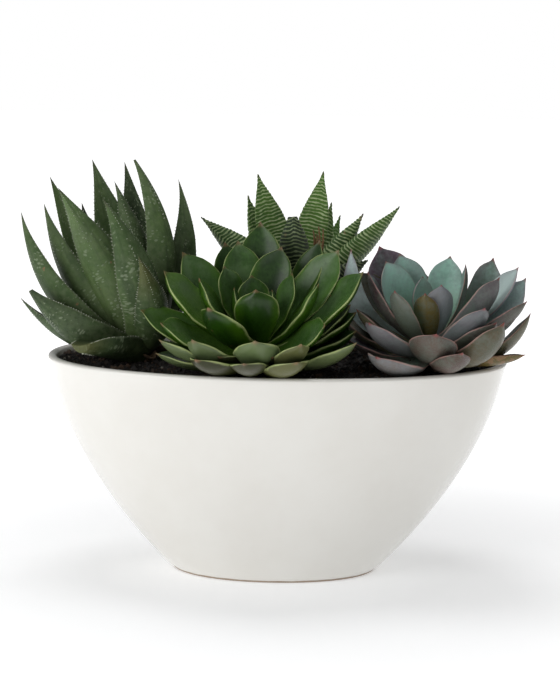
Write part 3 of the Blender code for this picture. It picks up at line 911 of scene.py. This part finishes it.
# %% Aloe leaves
ALOE_LEAVES = [
    # the fan of tall leaves, from left to right
    (-64, -8, 73, 23, -140, 14),
    (-53, 6, 76.5, 22, -135),
    (-51.5, 22, 90, 22, 115, 7),
    (-43, -18, 87.5, 25, -95, 4, 4),
    (-33.5, 20, 76, 20, 120),
    (-27, 10, 101, 24, 100, None, -2.5),
    (-14, 0, 90, 19, -80, None, 5),
    (-10, 22, 99, 21, 80, None, -1),
    (-5.5, 2, 105.5, 22, -35, 17),
    (-18, -28, 83, 25, -56, 16),
    (20.5, 10, 91, 17, 75, 4, -12),
    # the low leaves that lean out over the rim
    (-67, 13, 23, 20, -165),
    (-60, -27, 36, 29, -120),
    (-35, -51, 3, 30, -100, -4.4),
    (2, -42, 54, 20, -60, 9, 3),
]
ALOE_LOOKS = {
    "tone": {
        0: 0.15, 1: 0.3, 2: 0.6, 3: 0.45, 4: -0.4, 5: 0.3, 6: -0.1, 7: -0.4, 8: 0.4, 9: 0.1,
        10: -0.1, 11: -0.2, 12: -0.4, 13: -0.4, 14: -0.1,
    },
    "warm": {13: 0.7, 14: 0.5},
    "dry": {0: 0.2},
    "cut": {8: 0.96, 12: 0.94, 13: 0.8},
    "teeth": {13: 0.9},
}
TOOTH_LENGTH = 0.75 * MM
TOOTH_RADIUS, TOOTH_DEPTH = 0.38, 1.3
TOOTH_SMALLEST, TOOTH_VARIES, TOOTH_LEAN = 0.55, 0.6, 0.5
TEETH_FROM, KEEL_TEETH_FROM, TEETH_TO = 0.08, 0.62, 0.975
TOOTH_SEED = 3


def new_tooth_tree():
    """Small cones on the margins of the leaves, and along the keel near their tips."""
    sizes = {"Tooth length": TOOTH_LENGTH, "Share of places": 0.85, "Finish": None}
    tree, given, out = new_tree("margin_teeth", sizes)
    along, across, lift = (named(tree, place) for place in SECTION_PLACES)
    heading, up, side = midrib(tree, along)[1:]
    edge = (abs(lift) < 0.01) * (along > TEETH_FROM)
    keel = (lift < -0.99) * (along > KEEL_TEETH_FROM)
    luck = draw(tree, TOOTH_SEED)
    common = luck < given["Share of places"] * named(tree, "teeth")
    kept = (edge + keel) * common * (along < TEETH_TO)
    outwards = side * across - up * (lift < -0.5) + heading * TOOTH_LEAN
    turn = step(tree, "FunctionNodeAlignRotationToVector", {"axis": "Z"}, Vector=outwards)
    width, length = (given["Tooth length"] * share for share in (TOOTH_RADIUS, TOOTH_DEPTH))
    cone = step(
        tree, "GeometryNodeMeshCone", {"fill_type": "NGON"}, Vertices=5,
        Radius_Top=0.0, Radius_Bottom=width, Depth=length,
    )
    size = (TOOTH_SMALLEST + luck * TOOTH_VARIES) * along.smooth(0.75, 1.0, 1.0, 0.55)
    teeth = step(
        tree, "GeometryNodeInstanceOnPoints", Points=given["Geometry"], Selection=kept,
        Instance=cone, Rotation=turn, Scale=join_axes(size, size, size),
    )
    whole = step(tree, "GeometryNodeRealizeInstances", Geometry=teeth)
    close_tree(whole, given["Finish"], out)
    return tree


aloe = Plant("aloe_leaves", (-77, -2, 125), (-6, 0), belly=0.10, foot=5, drop=3)
aloe_leaves = leaf_points(aloe, ALOE_LEAVES + aloe_hidden, ALOE_LOOKS, look_rng)
aloe_form = {"Sections": 48, "Thickness": 0.34, "Cup": 0.10, "Plumpness": 0.04, "Wave": 0.012}
apply_tree(aloe_leaves, LANCE, dict(aloe_form, Finish=ALOE_FINISH))
aloe_teeth = add_object("aloe_teeth", aloe_leaves.data)
apply_tree(aloe_teeth, new_tooth_tree(), {"Finish": TOOTH_FINISH})
print("aloe:", triangles(aloe_leaves), "triangles, and its teeth:", triangles(aloe_teeth))

# %% [markdown]
# ## The green echeveria
# A wide rosette of spoon-shaped leaves. The inner ones stand up as a cup, the outer ones lie
# nearly flat and show their paler undersides, and the lowest reach out over the rim.

# %% Green echeveria leaves
GREEN_LEAVES = [
    # the inner cup
    (-1.4, -26, 30, 24),
    (-13, -5, 28, 15),
    (-4, 8, 33, 18),
    (7, -4, 27, 14),
    (-19, 8, 38, 19),
    (18, 5, 35, 17),
    # the middle ring
    (-12, 22, 50, 23),
    (0, 34, 59.5, 24),
    (12, 20, 47.5, 22, 90, None, 2.5),
    (33, 26, 51, 20),
    (43, 14, 47, 25, 60),
    (32, -12, 32, 19),
    (56, -6, 38, 24, 25),
    (-42, 16, 44, 25, 125),
    (-51, -2, 36, 25, 155),
    (-32, -6, 33, 21),
    (-26, -36, 21.5, 27),
    (-19.5, 32, 48, 22),
    (-42, 8, 22, 22),
    (50, 8, 18, 24),
    (40, 12, 5, 22),
    # the outer ring, flat on the left and seen from its underside in front
    (-63, -8, 15.5, 22, 132),
    (-51.5, -25, 11.2, 24, 165),
    (-34, -46, 6, 25, -122, 9),
    (-52, -29, 3, 22, -140, 7),
    (-54, -22, -5.5, 20, -145, 6),
    (-1, -56, 7.5, 25, -90, 8),
    (23, -51, 5.5, 21, -72, 8),
    (52.5, -29, 3.2, 23, -62, 8),
    (35.5, -30, 12.5, 20, 20),
    # the lowest leaves, which reach out over the rim
    (-32, -52, -3.5, 25, -115, 6.2),
    (21, -55, -3.5, 24, -76, 6.5),
    (-6.5, -59, -4, 20, -92, 5.8),
    (8, -44, -3, 18, -82, 3.2),
    (-20, -45, -3, 18, -105, 3.2),
    # dark leaves on the right, in the shade of the others; their low tone is painted shade
    (53, 2, 15, 24, 0),
    (53, -6, 6, 24, -20),
]
GREEN_LOOKS = {
    "tone": {
        0: 0.1, 1: -0.1, 2: -0.4, 3: -0.3, 4: -0.1, 5: -0.1, 6: -0.1, 7: -0.5, 8: -0.5, 9: -0.7,
        10: -0.1, 11: 0.45, 12: -0.1, 13: -0.1, 14: 0.5, 15: 0.3, 16: -0.1, 17: -0.6, 19: -0.8,
        # the low tone of leaves 35 and 36 is painted shade
        20: -0.8, 21: 0.3, 22: 0.4, 29: 0.1, 35: -0.7, 36: -0.7,
    },
    "blush": {
        23: 0.3, 24: 0.35, 25: 0.4, 26: 0.1, 27: 0.45, 28: 0.12, 30: 1.0, 31: 0.6, 32: 0.95,
        33: 1.0, 34: 1.0,
    },
    "warm": {27: 0.4, 28: 0.1, 30: 0.05, 31: 0.4, 32: 0.08},
    "dry": {15: 0.3, 16: 0.35, 30: 0.3},
}
green = Plant("green_rosette", (-10.7, -35, 134.6), (-4, -12), belly=0.10, foot=3, drop=10)
green_leaves = leaf_points(green, GREEN_LEAVES + green_hidden, GREEN_LOOKS, look_rng)
apply_tree(green_leaves, SPOON, {"Finish": GREEN_FINISH, "Wave": 0.02})
print("green echeveria:", triangles(green_leaves), "triangles")

# %% [markdown]
# ## The blue-grey echeveria
# The same kind of leaf, with a waxy bloom, rosy margins and longer points.

# %% Blue-grey echeveria leaves
BLUE_LEAVES = [
    # the inner cup
    (-5.5, 6, 32, 16),
    (3.5, -12, 30, 16, -75),
    (-5.5, -18, 26, 14.5, -105),
    (-22, -20, 27.5, 20),
    (10, 18, 42, 20),
    (18, 12, 38.5, 13, 0),
    # the middle ring
    (-18, 20, 42.5, 22, 95),
    (-26, 6, 40, 22, 120),
    (-29, 24, 46, 28, 95, None, 2),
    (34, 22, 41, 22, 85, None, -10),
    (46.5, 6, 38, 20, 30),
    (35, -8, 34, 22, -45),
    (51, 8, 32, 19, 60, None, -8),
    (25.5, -34, 21, 22),
    (-36, -4, 35.5, 21),
    (-36, -34, 12, 25),
    (-3, 26, 31, 20),
    (-45, 0, 47.5, 13, 95, 2, 18),
    (-42, 14, 33, 24, 115),
    (-42, -12, 16, 20),
    (-47, 12, 6, 24),
    (-42, 22, 16, 24),
    (-46, -4, -2, 22),
    (-48, 18, -2, 24),
    # the outer ring, seen from its underside
    (50, -12, 22, 19, -40),
    (53.5, 2, 13.5, 22, -25, 13),
    (32, -32, 13, 22),
    (35.5, -38, 14, 23, -66, 13),
    (-1, -50, 9, 26, -95, 7),
    (13, -51, -0.5, 19, -78, 8),
    (-32, -48, -4, 28, -112, 6.8),
    (50, -14, -7, 18, -60, 3.5),
]
BLUE_LOOKS = {
    # tones above 0.9 whiten a leaf: partly pale bloom, partly painted sheen and painted light on leaves
    # in shade
    "tone": {
        0: 1.3, 1: 1.4, 2: 0.1, 3: 0.75, 4: 0.7, 5: 0.6, 6: 0.75, 7: 0.75, 8: -0.5, 9: 0.1,
        10: 1.6, 11: 0.8, 12: 1.3, 13: 1.0, 14: 0.2, 15: 0.9, 17: 1.5, 18: -0.8, 19: -0.8,
        20: -0.8, 21: -0.8, 22: -0.2, 23: -0.8, 24: -0.2, 25: -0.1, 26: -0.2, 27: 0.2, 28: 0.7,
        29: 0.2, 30: 1.1, 31: -0.6,
    },
    "blush": {
        3: 0.05, 4: 0.05, 5: 0.4, 6: 0.2, 7: 0.1, 8: 0.45, 9: 0.2, 10: 0.05, 11: 0.5, 12: 0.3,
        13: 0.4, 14: 0.6, 15: 0.5, 17: 0.25, 22: 0.7, 24: 0.5, 25: 0.1, 26: 0.4, 27: 0.4, 28: 0.7,
        29: 0.8, 30: 0.6,
    },
    "warm": {
        # the olive of leaf 2 is partly its own colour, partly painted shade inside the folded centre
        # leaf
        0: 0.25, 1: 0.2, 2: 1.0, 3: 0.25, 9: 0.15, 18: 0.5, 19: 0.5, 20: 0.5, 21: 0.5, 23: 0.4,
        25: 0.6, 27: 0.4, 28: 0.3, 29: 0.2, 30: 0.35, 31: 1.3,
    },
    "dry": {31: 1.2},
}
blue = Plant("blue_rosette", (83.9, -22, 135.3), (6, -6), belly=0.10, foot=3, drop=10)
blue_leaves = leaf_points(blue, BLUE_LEAVES + blue_hidden, BLUE_LOOKS, look_rng)
apply_tree(blue_leaves, SPOON, {"Finish": BLUE_FINISH})
print("blue-grey echeveria:", triangles(blue_leaves), "triangles")

# %% [markdown]
# ## The zebra plant
# Stiff, pointed leaves with raised white bands. The leaf tree raises the bands from the same
# formula that whitens them in the material, so relief and colour agree.

# %% Zebra plant leaves
ZEBRA_LEAVES = [
    # the tall leaves, seen from their inner face
    (-22.5, 4, 65, 18.5, 105),
    (-28, 14, 52, 17, 130),
    (14.3, 6, 67, 18, 80),
    (19.5, 22, 48, 15, 60),
    (24.7, 30, 40, 13, 50),
    # the leaves that lean out to both sides
    (-54, 2, 40.5, 17, -104, 0),
    (37, 2, 44, 17, -55, 2),
    (57.5, 6, 48, 19, -50, 2),
    (40, -6, 19, 19, -72, 2),
    # the blunt leaf in front, seen from its back
    (-3, -14, 49.5, 17, -90),
    # a low leaf between the two rosettes
    (42, -2, -20, 25, -95, 2),
]
# young leaves in the middle that have dried up
ZEBRA_TUFT = [
    (9, -3, 35, 3.5),
    (12, -2, 37, 4),
    (14.5, -4, 36, 3.5),
    (11, -6, 33, 4),
]
ZEBRA_LOOKS = {
    "tone": {
        0: 0.5, 1: 0.5, 2: 0.7, 3: 0.8, 4: 1.4, 5: 0.2, 6: 0.2, 7: 0.4, 8: -0.8, 9: -0.7, 10: -0.8,
    },
    "warm": {11: 1.0, 12: 1.0, 13: 1.0, 14: 1.0},
    "dry": {6: 0.6, 9: 0.5},
    "cut": {9: 0.88},
}
zebra = Plant("zebra_leaves", (9.7, 28, 152), (0, 0), belly=0.08, foot=5, drop=4)
zebra_leaves = leaf_points(zebra, ZEBRA_LEAVES + ZEBRA_TUFT + zebra_hidden, ZEBRA_LOOKS, look_rng)
zebra_form = {"Sections": 108, "Thickness": 0.42, "Cup": 0.04, "Plumpness": 0.04, "Wave": 0.0}
apply_tree(zebra_leaves, DAGGER, dict(zebra_form, Finish=ZEBRA_FINISH))
print("zebra plant:", triangles(zebra_leaves), "triangles")

# %% [markdown]
# ## The bowl
# A cast ceramic bowl is a stack of ovals: the outline goes from the foot up the outside, over the
# rounded lip and down the inside to the floor. Its wall follows one curve, pulled outwards low
# down. The finer rings keep the CAD outline, and the foot ring is left standing a little proud.

# %% Bowl outline
RIM_LENGTH, RIM_DEPTH, BOWL_HEIGHT = 254 * MM, 152 * MM, 119.5 * MM
FOOT_LENGTH, FOOT_DEPTH = 114 * MM, 80 * MM
WALL, FLOOR, FOOT_BEVEL = 4.6 * MM, 7 * MM, 1.2 * MM
FOOT_RING, FOOT_RING_EDGE, FOOT_HOLLOW = 7 * MM, 0.6 * MM, 0.9 * MM
LIP_HEIGHT = 0.35
FOOT_WALL, WALL_TAPER = 1.9, 0.9
OVAL_POWER = 2.1
FOOT_PULL, RIM_PULL = (0.30, 0.17), (0.88, 0.56)
BOWL_SIDES = 144
WALL_RINGS, INNER_RINGS, LIP_STEPS, BEVEL_STEPS = 44, 24, 12, 5
FIRST_WALL_RING = 2
HALVINGS = 30


def oval(half_length, half_depth, height):
    """A ring of points round a slightly squared oval."""
    points = []
    for i in range(BOWL_SIDES):
        turn = 2 * math.pi * i / BOWL_SIDES
        across, back = math.cos(turn), math.sin(turn)
        x = math.copysign(abs(across) ** (2 / OVAL_POWER), across) * half_length
        y = math.copysign(abs(back) ** (2 / OVAL_POWER), back) * half_depth
        points.append(Vector((x, y, height)))
    return points


def wall_curve(t):
    """(share of the way out, share of the way up) along the outer wall, from foot to rim."""
    a, b, c = 3 * (1 - t) ** 2 * t, 3 * (1 - t) * t * t, t**3
    return a * FOOT_PULL[0] + b * RIM_PULL[0] + c, a * FOOT_PULL[1] + b * RIM_PULL[1] + c


def wall_t(height):
    """The place along the wall's curve that lies at this height."""
    low, high = 0.0, 1.0
    for _ in range(HALVINGS):
        middle = (low + high) / 2
        if wall_curve(middle)[1] * BOWL_HEIGHT < height:
            low = middle
        else:
            high = middle
    return low


def wall_ring(t, inset, rise=0.0):
    """The wall's oval at t, moved inwards by the inset."""
    out_share, up_share = wall_curve(t)
    half_length = FOOT_LENGTH / 2 + (RIM_LENGTH - FOOT_LENGTH) / 2 * out_share
    half_depth = FOOT_DEPTH / 2 + (RIM_DEPTH - FOOT_DEPTH) / 2 * out_share
    return oval(half_length - inset, half_depth - inset, up_share * BOWL_HEIGHT + rise)


def wall_thickness(t):
    """The wall is thicker low down, as in a cast bowl."""
    return WALL * (FOOT_WALL - WALL_TAPER * t)


print("wall's t at half height:", round(wall_t(BOWL_HEIGHT / 2), 3))

# %% Bowl mesh


def skin_rings(name, rings, finish):
    """Joins closed rings of points into one closed body with a fan of faces on each end."""
    bm = bmesh.new()
    made = [[bm.verts.new(point) for point in ring] for ring in rings]
    for lower, upper in zip(made, made[1:]):
        count = len(lower)
        for i in range(count):
            j = (i + 1) % count
            bm.faces.new((lower[i], lower[j], upper[j], upper[i]))
    for ring in (made[0], made[-1]):
        middle = bm.verts.new(sum((v.co for v in ring), Vector()) / len(ring))
        for i in range(len(ring)):
            bm.faces.new((ring[i], ring[(i + 1) % len(ring)], middle))
    bmesh.ops.recalc_face_normals(bm, faces=bm.faces)
    mesh = bpy.data.meshes.new(name)
    bm.to_mesh(mesh)
    bm.free()
    mesh.materials.append(finish)
    mesh.shade_smooth()
    return add_object(name, mesh)


def lip_rings():
    """A half circle over the rim, from the outside to the inside."""
    rings = []
    for i in range(LIP_STEPS + 1):
        turn = math.pi * i / LIP_STEPS
        inset = WALL / 2 * (1 - math.cos(turn))
        rings.append(wall_ring(1, inset, WALL * LIP_HEIGHT * (math.sin(turn) - 1)))
    return rings


def bevel_rings():
    """The foot's outer edge, rounded from underneath to the wall."""
    rings = []
    for i in range(BEVEL_STEPS + 1):
        turn = math.pi / 2 * i / BEVEL_STEPS
        rings.append(wall_ring(0, FOOT_BEVEL * (1 - math.sin(turn)), FOOT_BEVEL * (1 - math.cos(turn))))
    return rings


def make_bowl():
    edge = FOOT_RING_EDGE
    underside = [(2 * MM, FOOT_HOLLOW), (edge, FOOT_HOLLOW * 0.8), (0, 0.2 * MM), (-edge, 0.0)]
    rings = [wall_ring(0, FOOT_RING + inset, height) for inset, height in underside]
    rings += bevel_rings()
    rings += [wall_ring(i / WALL_RINGS, 0) for i in range(FIRST_WALL_RING, WALL_RINGS)]
    rings += lip_rings()
    low = wall_t(FLOOR)
    inside = [low + (1 - low) * i / INNER_RINGS for i in range(INNER_RINGS)]
    rings += [wall_ring(t, wall_thickness(t)) for t in reversed(inside)]
    return skin_rings("bowl_glazed", rings, GLAZE)


# %% White glaze over a tan body
SPECK_CELLS, SPECK_SIZES, SPECK_RARITY = 24.0, (0.012, 0.02), 0.75
BARE_EDGES, BARE_RAGGED = (0.9 * MM, 1.5 * MM), 0.8 * MM


def make_glaze():
    made, tree, shader = new_material("white_glaze", 0.25, Coat_Weight=0.5, Coat_Roughness=0.12)
    place = object_place(tree)
    height = Wire(node(tree, "ShaderNodeSeparateXYZ", Vector=place).outputs[2])
    colour = blend(mottle(tree, 0.05, 0.2), (0.815, 0.795, 0.745), (0.845, 0.83, 0.785))
    specks = node(tree, "ShaderNodeTexVoronoi", Vector=place, Scale=SPECK_CELLS)
    speck = Wire(specks.outputs["Distance"]).fade(*SPECK_SIZES)
    rare = node(tree, "ShaderNodeSeparateColor", Color=Wire(specks.outputs["Color"]))
    speck = speck * (Wire(rare.outputs[0]) > SPECK_RARITY)
    colour = blend(speck * 0.7, colour, (0.30, 0.20, 0.12))
    ragged = height + (cloud(place, 120.0, 2.0) - 0.5) * BARE_RAGGED
    bare = ragged.fade(*BARE_EDGES)
    colour = blend(bare, colour, (0.36, 0.28, 0.21))
    dress(shader, colour, bare * 0.5 + 0.25, cloud(place, 18.0), 0.0003)
    return made


GLAZE = make_glaze()
bowl = make_bowl()
print("bowl:", triangles(bowl), "triangles")

# %% [markdown]
# ## The soil
# Potting mix is a bed of peat with loose crumbs, bits of bark and grit on it. The bed is one closed
# body that fills the bowl. The crumbs repeat by the thousand, so a tree scatters a simple shape over
# the bed, turned and scaled by a seeded draw, and roughens each one a little differently. It is
# used twice, for fine crumbs and for larger, flatter chips.

# %% Soil bed
SOIL_GAP, SOIL_BELOW_RIM = 0.6 * MM, 3.2 * MM
SOIL_MOUND, SOIL_LUMP, SOIL_LUMP_SIZE = 0.3 * MM, 0.5 * MM, 14 * MM
SOIL_GRAIN, SOIL_GRAIN_SIZE = 0.35 * MM, 4 * MM
BED_RINGS, BED_WALL_RINGS = 26, 16
EDGE_STEEPNESS = 5
BARK_CRUMBS, GRIT_CRUMBS = (0.72, 0.8), (0.965, 0.97)


def soil_height(x, y):
    """The soil's surface: a low mound with soft lumps, even at its edge."""
    out = min(1.0, math.hypot(x / (RIM_LENGTH / 2 - WALL), y / (RIM_DEPTH / 2 - WALL)))
    lump = SOIL_LUMP * noise(Vector((x, y, CAD_SEED * MM)) / SOIL_LUMP_SIZE)
    mound = SOIL_MOUND * (1 - out**2)
    return BOWL_HEIGHT - SOIL_BELOW_RIM + mound + lump * min(1.0, EDGE_STEEPNESS * (1 - out))


def soil_top(inset):
    """Rings over the soil's surface, from its edge to near its middle."""
    edge = wall_ring(wall_t(BOWL_HEIGHT - SOIL_BELOW_RIM), WALL + SOIL_GAP + inset)
    rings = []
    for i in range(BED_RINGS):
        share = 1 - i / BED_RINGS
        ring = [Vector((p.x * share, p.y * share, 0)) for p in edge]
        for point in ring:
            point.z = soil_height(point.x, point.y) + SOIL_GRAIN * noise(point / SOIL_GRAIN_SIZE)
        rings.append(ring)
    return rings


def make_soil_bed():
    top = wall_t(BOWL_HEIGHT - SOIL_BELOW_RIM - 1 * MM)
    low = wall_t(FLOOR)
    steps = [low + (top - low) * i / BED_WALL_RINGS for i in range(BED_WALL_RINGS + 1)]
    rings = [wall_ring(t, wall_thickness(t) + SOIL_GAP) for t in steps]
    for point in rings[0]:
        point.z += SOIL_GAP
    return skin_rings("soil_bed", rings + soil_top(0), SOIL_FINISH)


def make_soil_finish():
    made, tree, shader = new_material("peat", 0.9)
    patches, crumb = mottle(tree, 0.004, 0.6, 1.4), marked(tree, "crumb")
    colour = blend(patches, (0.008, 0.007, 0.007), (0.028, 0.022, 0.019))
    colour = blend(crumb.smooth(*BARK_CRUMBS), colour, (0.060, 0.034, 0.020))
    colour = blend(crumb.smooth(*GRIT_CRUMBS), colour, (0.21, 0.19, 0.165))
    dress(shader, colour, patches * 0.35 + 0.6, patches, 0.0004)
    return made


SOIL_FINISH = make_soil_finish()
soil_bed = make_soil_bed()
print("soil bed:", triangles(soil_bed), "triangles")

# %% Loose crumbs on the soil
CRUMB_KIND_SEED = 99
CRUMB_DENTS, CRUMB_ROUGHNESS = 900.0, 1.1
CRUMB_LENGTH = 1.25
CRUMBS_INSET = 1.6 * MM


def new_crumb_tree():
    """Scatters one crumb shape over a surface."""
    sizes = {"Crumbs per square metre": 90000.0, "Smallest": 0.5 * MM, "Largest": 1.1 * MM}
    sizes.update({"Detail": 1, "Flatness": 0.7, "Seed": 1, "Finish": None})
    tree, given, out = new_tree("soil_crumbs", sizes)
    points = step(
        tree, "GeometryNodeDistributePointsOnFaces", Mesh=given["Geometry"], Seed=given["Seed"],
        Density=given["Crumbs per square metre"],
    )
    ball = step(tree, "GeometryNodeMeshIcoSphere", Radius=1.0, Subdivisions=given["Detail"])
    spin = node(tree, "FunctionNodeRandomValue", {"data_type": "FLOAT_VECTOR"}, Seed=given["Seed"])
    spin.inputs[1].default_value = (2 * math.pi,) * 3
    luck = draw(tree, given["Seed"])
    size = given["Smallest"] + (given["Largest"] - given["Smallest"]) * luck**2.0
    scale = join_axes(size * CRUMB_LENGTH, size, size * given["Flatness"])
    crumbs = step(
        tree, "GeometryNodeInstanceOnPoints", Points=points, Instance=ball,
        Rotation=Wire(spin.outputs[0]), Scale=scale,
    )
    crumbs = stored(crumbs, "crumb", draw(tree, CRUMB_KIND_SEED), "INSTANCE")
    whole = step(tree, "GeometryNodeRealizeInstances", Geometry=crumbs)
    away = step(tree, "GeometryNodeInputNormal")
    dent = cloud(step(tree, "GeometryNodeInputPosition"), CRUMB_DENTS, 1.0) - 0.5
    moved = away * (dent * given["Largest"] * CRUMB_ROUGHNESS)
    rough = step(tree, "GeometryNodeSetPosition", Geometry=whole, Offset=moved)
    close_tree(rough, given["Finish"], out)
    return tree


def scatter_crumbs(name, tree, inputs):
    """A surface just inside the wall is covered with crumbs, and only the crumbs are kept."""
    surface = skin_rings(name, soil_top(CRUMBS_INSET), SOIL_FINISH)
    return apply_tree(surface, tree, dict(inputs, Finish=SOIL_FINISH))


crumb_tree = new_crumb_tree()
fine_crumbs = {"Crumbs per square metre": 150000.0, "Seed": 5}
coarse_crumbs = {"Crumbs per square metre": 17000.0, "Smallest": 1.0 * MM, "Largest": 2.4 * MM}
coarse_crumbs.update({"Detail": 2, "Flatness": 0.55, "Seed": 8})
soil_crumbs = scatter_crumbs("soil_crumbs", crumb_tree, fine_crumbs)
soil_chips = scatter_crumbs("soil_chips", crumb_tree, coarse_crumbs)
print("crumbs:", triangles(soil_crumbs), triangles(soil_chips), "triangles")

# %% [markdown]
# ## Necks and dried leaves
# From the sides and the back, the necks that carry the rosettes above the soil can be seen. Each
# is a scarred stem, and a few old leaves hang round it, dried to brown paper. From above, a bud of
# small new leaves closes the middle of the echeverias and the zebra plant.

# %% Necks and dried leaves
NECK_SIDES, NECK_RINGS = 40, 16
NECK_SUNK, NECK_TAPER = 4 * MM, 0.5
SCAR_COUNT, SCAR_DEPTH = 5, 0.05
DRY_SEED = 23
DRIED_TURN, DRIED_REACHES, DRIED_FALLS = 0.3, (0.8, 1.15), (0.8, 1.1)


def make_dry_finish():
    made, tree, shader = new_material("dried_leaf", 0.8)
    patches = mottle(tree, 0.003, 0.5, 1.4)
    colour = blend(patches, (0.040, 0.024, 0.012), (0.19, 0.12, 0.062))
    dress(shader, colour, None, patches, 0.0003)
    return made


def make_neck(plant, radius, rise):
    """A stem with rows of leaf scars, which leans with its rosette."""
    ground = soil_height(plant.middle.x, plant.middle.y) - NECK_SUNK
    foot = Vector((plant.middle.x, plant.middle.y, ground))
    head = plant.middle + plant.axis * rise * MM
    rings = []
    for i in range(NECK_RINGS + 1):
        share = i / NECK_RINGS
        ring = []
        for k in range(NECK_SIDES):
            turn = 2 * math.pi * k / NECK_SIDES
            scar = 1 + SCAR_DEPTH * math.sin(SCAR_COUNT * turn + i * math.pi / 2)
            away = Vector((math.cos(turn), math.sin(turn), 0)) * radius * MM
            ring.append(foot.lerp(head, share) + away * scar * (1 - NECK_TAPER * share**3))
        rings.append(ring)
    return skin_rings(plant.name + "_neck", rings, DRY_FINISH)


def make_dried_leaves(plant, count, reach, fall, width):
    """Thin crinkled leaves that hang evenly round the neck."""
    rows = []
    for i in range(count):
        turn = 2 * math.pi * (i + dry_rng.uniform(-DRIED_TURN, DRIED_TURN)) / count
        length = reach * dry_rng.uniform(*DRIED_REACHES)
        height = -fall * dry_rng.uniform(*DRIED_FALLS)
        rows.append((length * math.cos(turn), length * math.sin(turn), height, width))
    leaves = leaf_points(plant, rows, {}, dry_rng)
    leaves.name = plant.name + "_dried"
    form = {"Sections": 18, "Corners": 12, "Thickness": 0.1, "Cup": 0.35, "Wave": 0.06}
    return apply_tree(leaves, LANCE, dict(form, Finish=DRY_FINISH))


DRY_FINISH = make_dry_finish()
dry_rng = random.Random(DRY_SEED)
NECKS = [(aloe, 10.5, 8), (green, 6.7, 4), (blue, 6.7, 4), (zebra, 8.6, 4)]
DRIED_LEAVES = [
    (aloe, 6, 24, 4, 9),
    (green, 9, 24, 13, 9),
    (blue, 9, 24, 14, 9),
    (zebra, 14, 19, 22, 8),
]
necks = [make_neck(*row) for row in NECKS]
dried = [make_dried_leaves(*row) for row in DRIED_LEAVES]
print("necks and dried leaves:", sum(triangles(piece) for piece in necks + dried), "triangles")

# %% The youngest leaves, which close a plant's middle
HEART_LEAVES = [
    (0.8, 0.2, 16, 10, 15),
    (0.1, 0.9, 18, 10, 85),
    (-0.8, 0.4, 15, 10, 160),
    (-0.5, -0.8, 17, 10, 230),
    (0.4, -0.8, 14, 10, 300),
]
HEART_SEED = 29
heart_rng = random.Random(HEART_SEED)


def make_heart(plant, tree, finish):
    """A tight bud of a few small leaves."""
    leaves = leaf_points(plant, HEART_LEAVES, {}, heart_rng)
    leaves.name = plant.name + "_heart"
    return apply_tree(leaves, tree, {"Finish": finish})


hearts = [
    make_heart(green, SPOON, GREEN_FINISH),
    make_heart(blue, SPOON, BLUE_FINISH),
    make_heart(zebra, DAGGER, ZEBRA_FINISH),
]
print("hearts:", [piece.name for piece in hearts])

# %% [markdown]
# ## Fitting the pieces to the frame
# There are no joints, so every piece rides on the one body. Each stand-in is listed with the CAD solid
# that it replaces and the record's finish that it shows.

# %% Ride, replace, measure
PIECES = [
    (bowl, "bowl", "bowl_glaze"),
    (soil_bed, "soil", "soil"),
    (soil_crumbs, None, "soil"),
    (soil_chips, None, "soil"),
    (aloe_leaves, "aloe", "aloe_leaf"),
    (aloe_teeth, None, "aloe_leaf"),
    (green_leaves, "green_echeveria", "green_leaf"),
    (blue_leaves, "blue_echeveria", "blue_leaf"),
    (zebra_leaves, "zebra_haworthia", "zebra_leaf"),
]
LEAF_SLOTS = ("aloe_leaf", "green_leaf", "blue_leaf", "zebra_leaf")
for pieces in (necks, dried):
    PIECES += [(piece, None, finish_slot) for piece, finish_slot in zip(pieces, LEAF_SLOTS)]
PIECES += [(piece, None, finish_slot) for piece, finish_slot in zip(hearts, LEAF_SLOTS[1:])]
for piece, cad_node, finish_slot in PIECES:
    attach(piece, "root")
    if cad_node:
        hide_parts(cad_node)

print("triangles in all:", sum(triangles(piece) for piece, _, _ in PIECES))
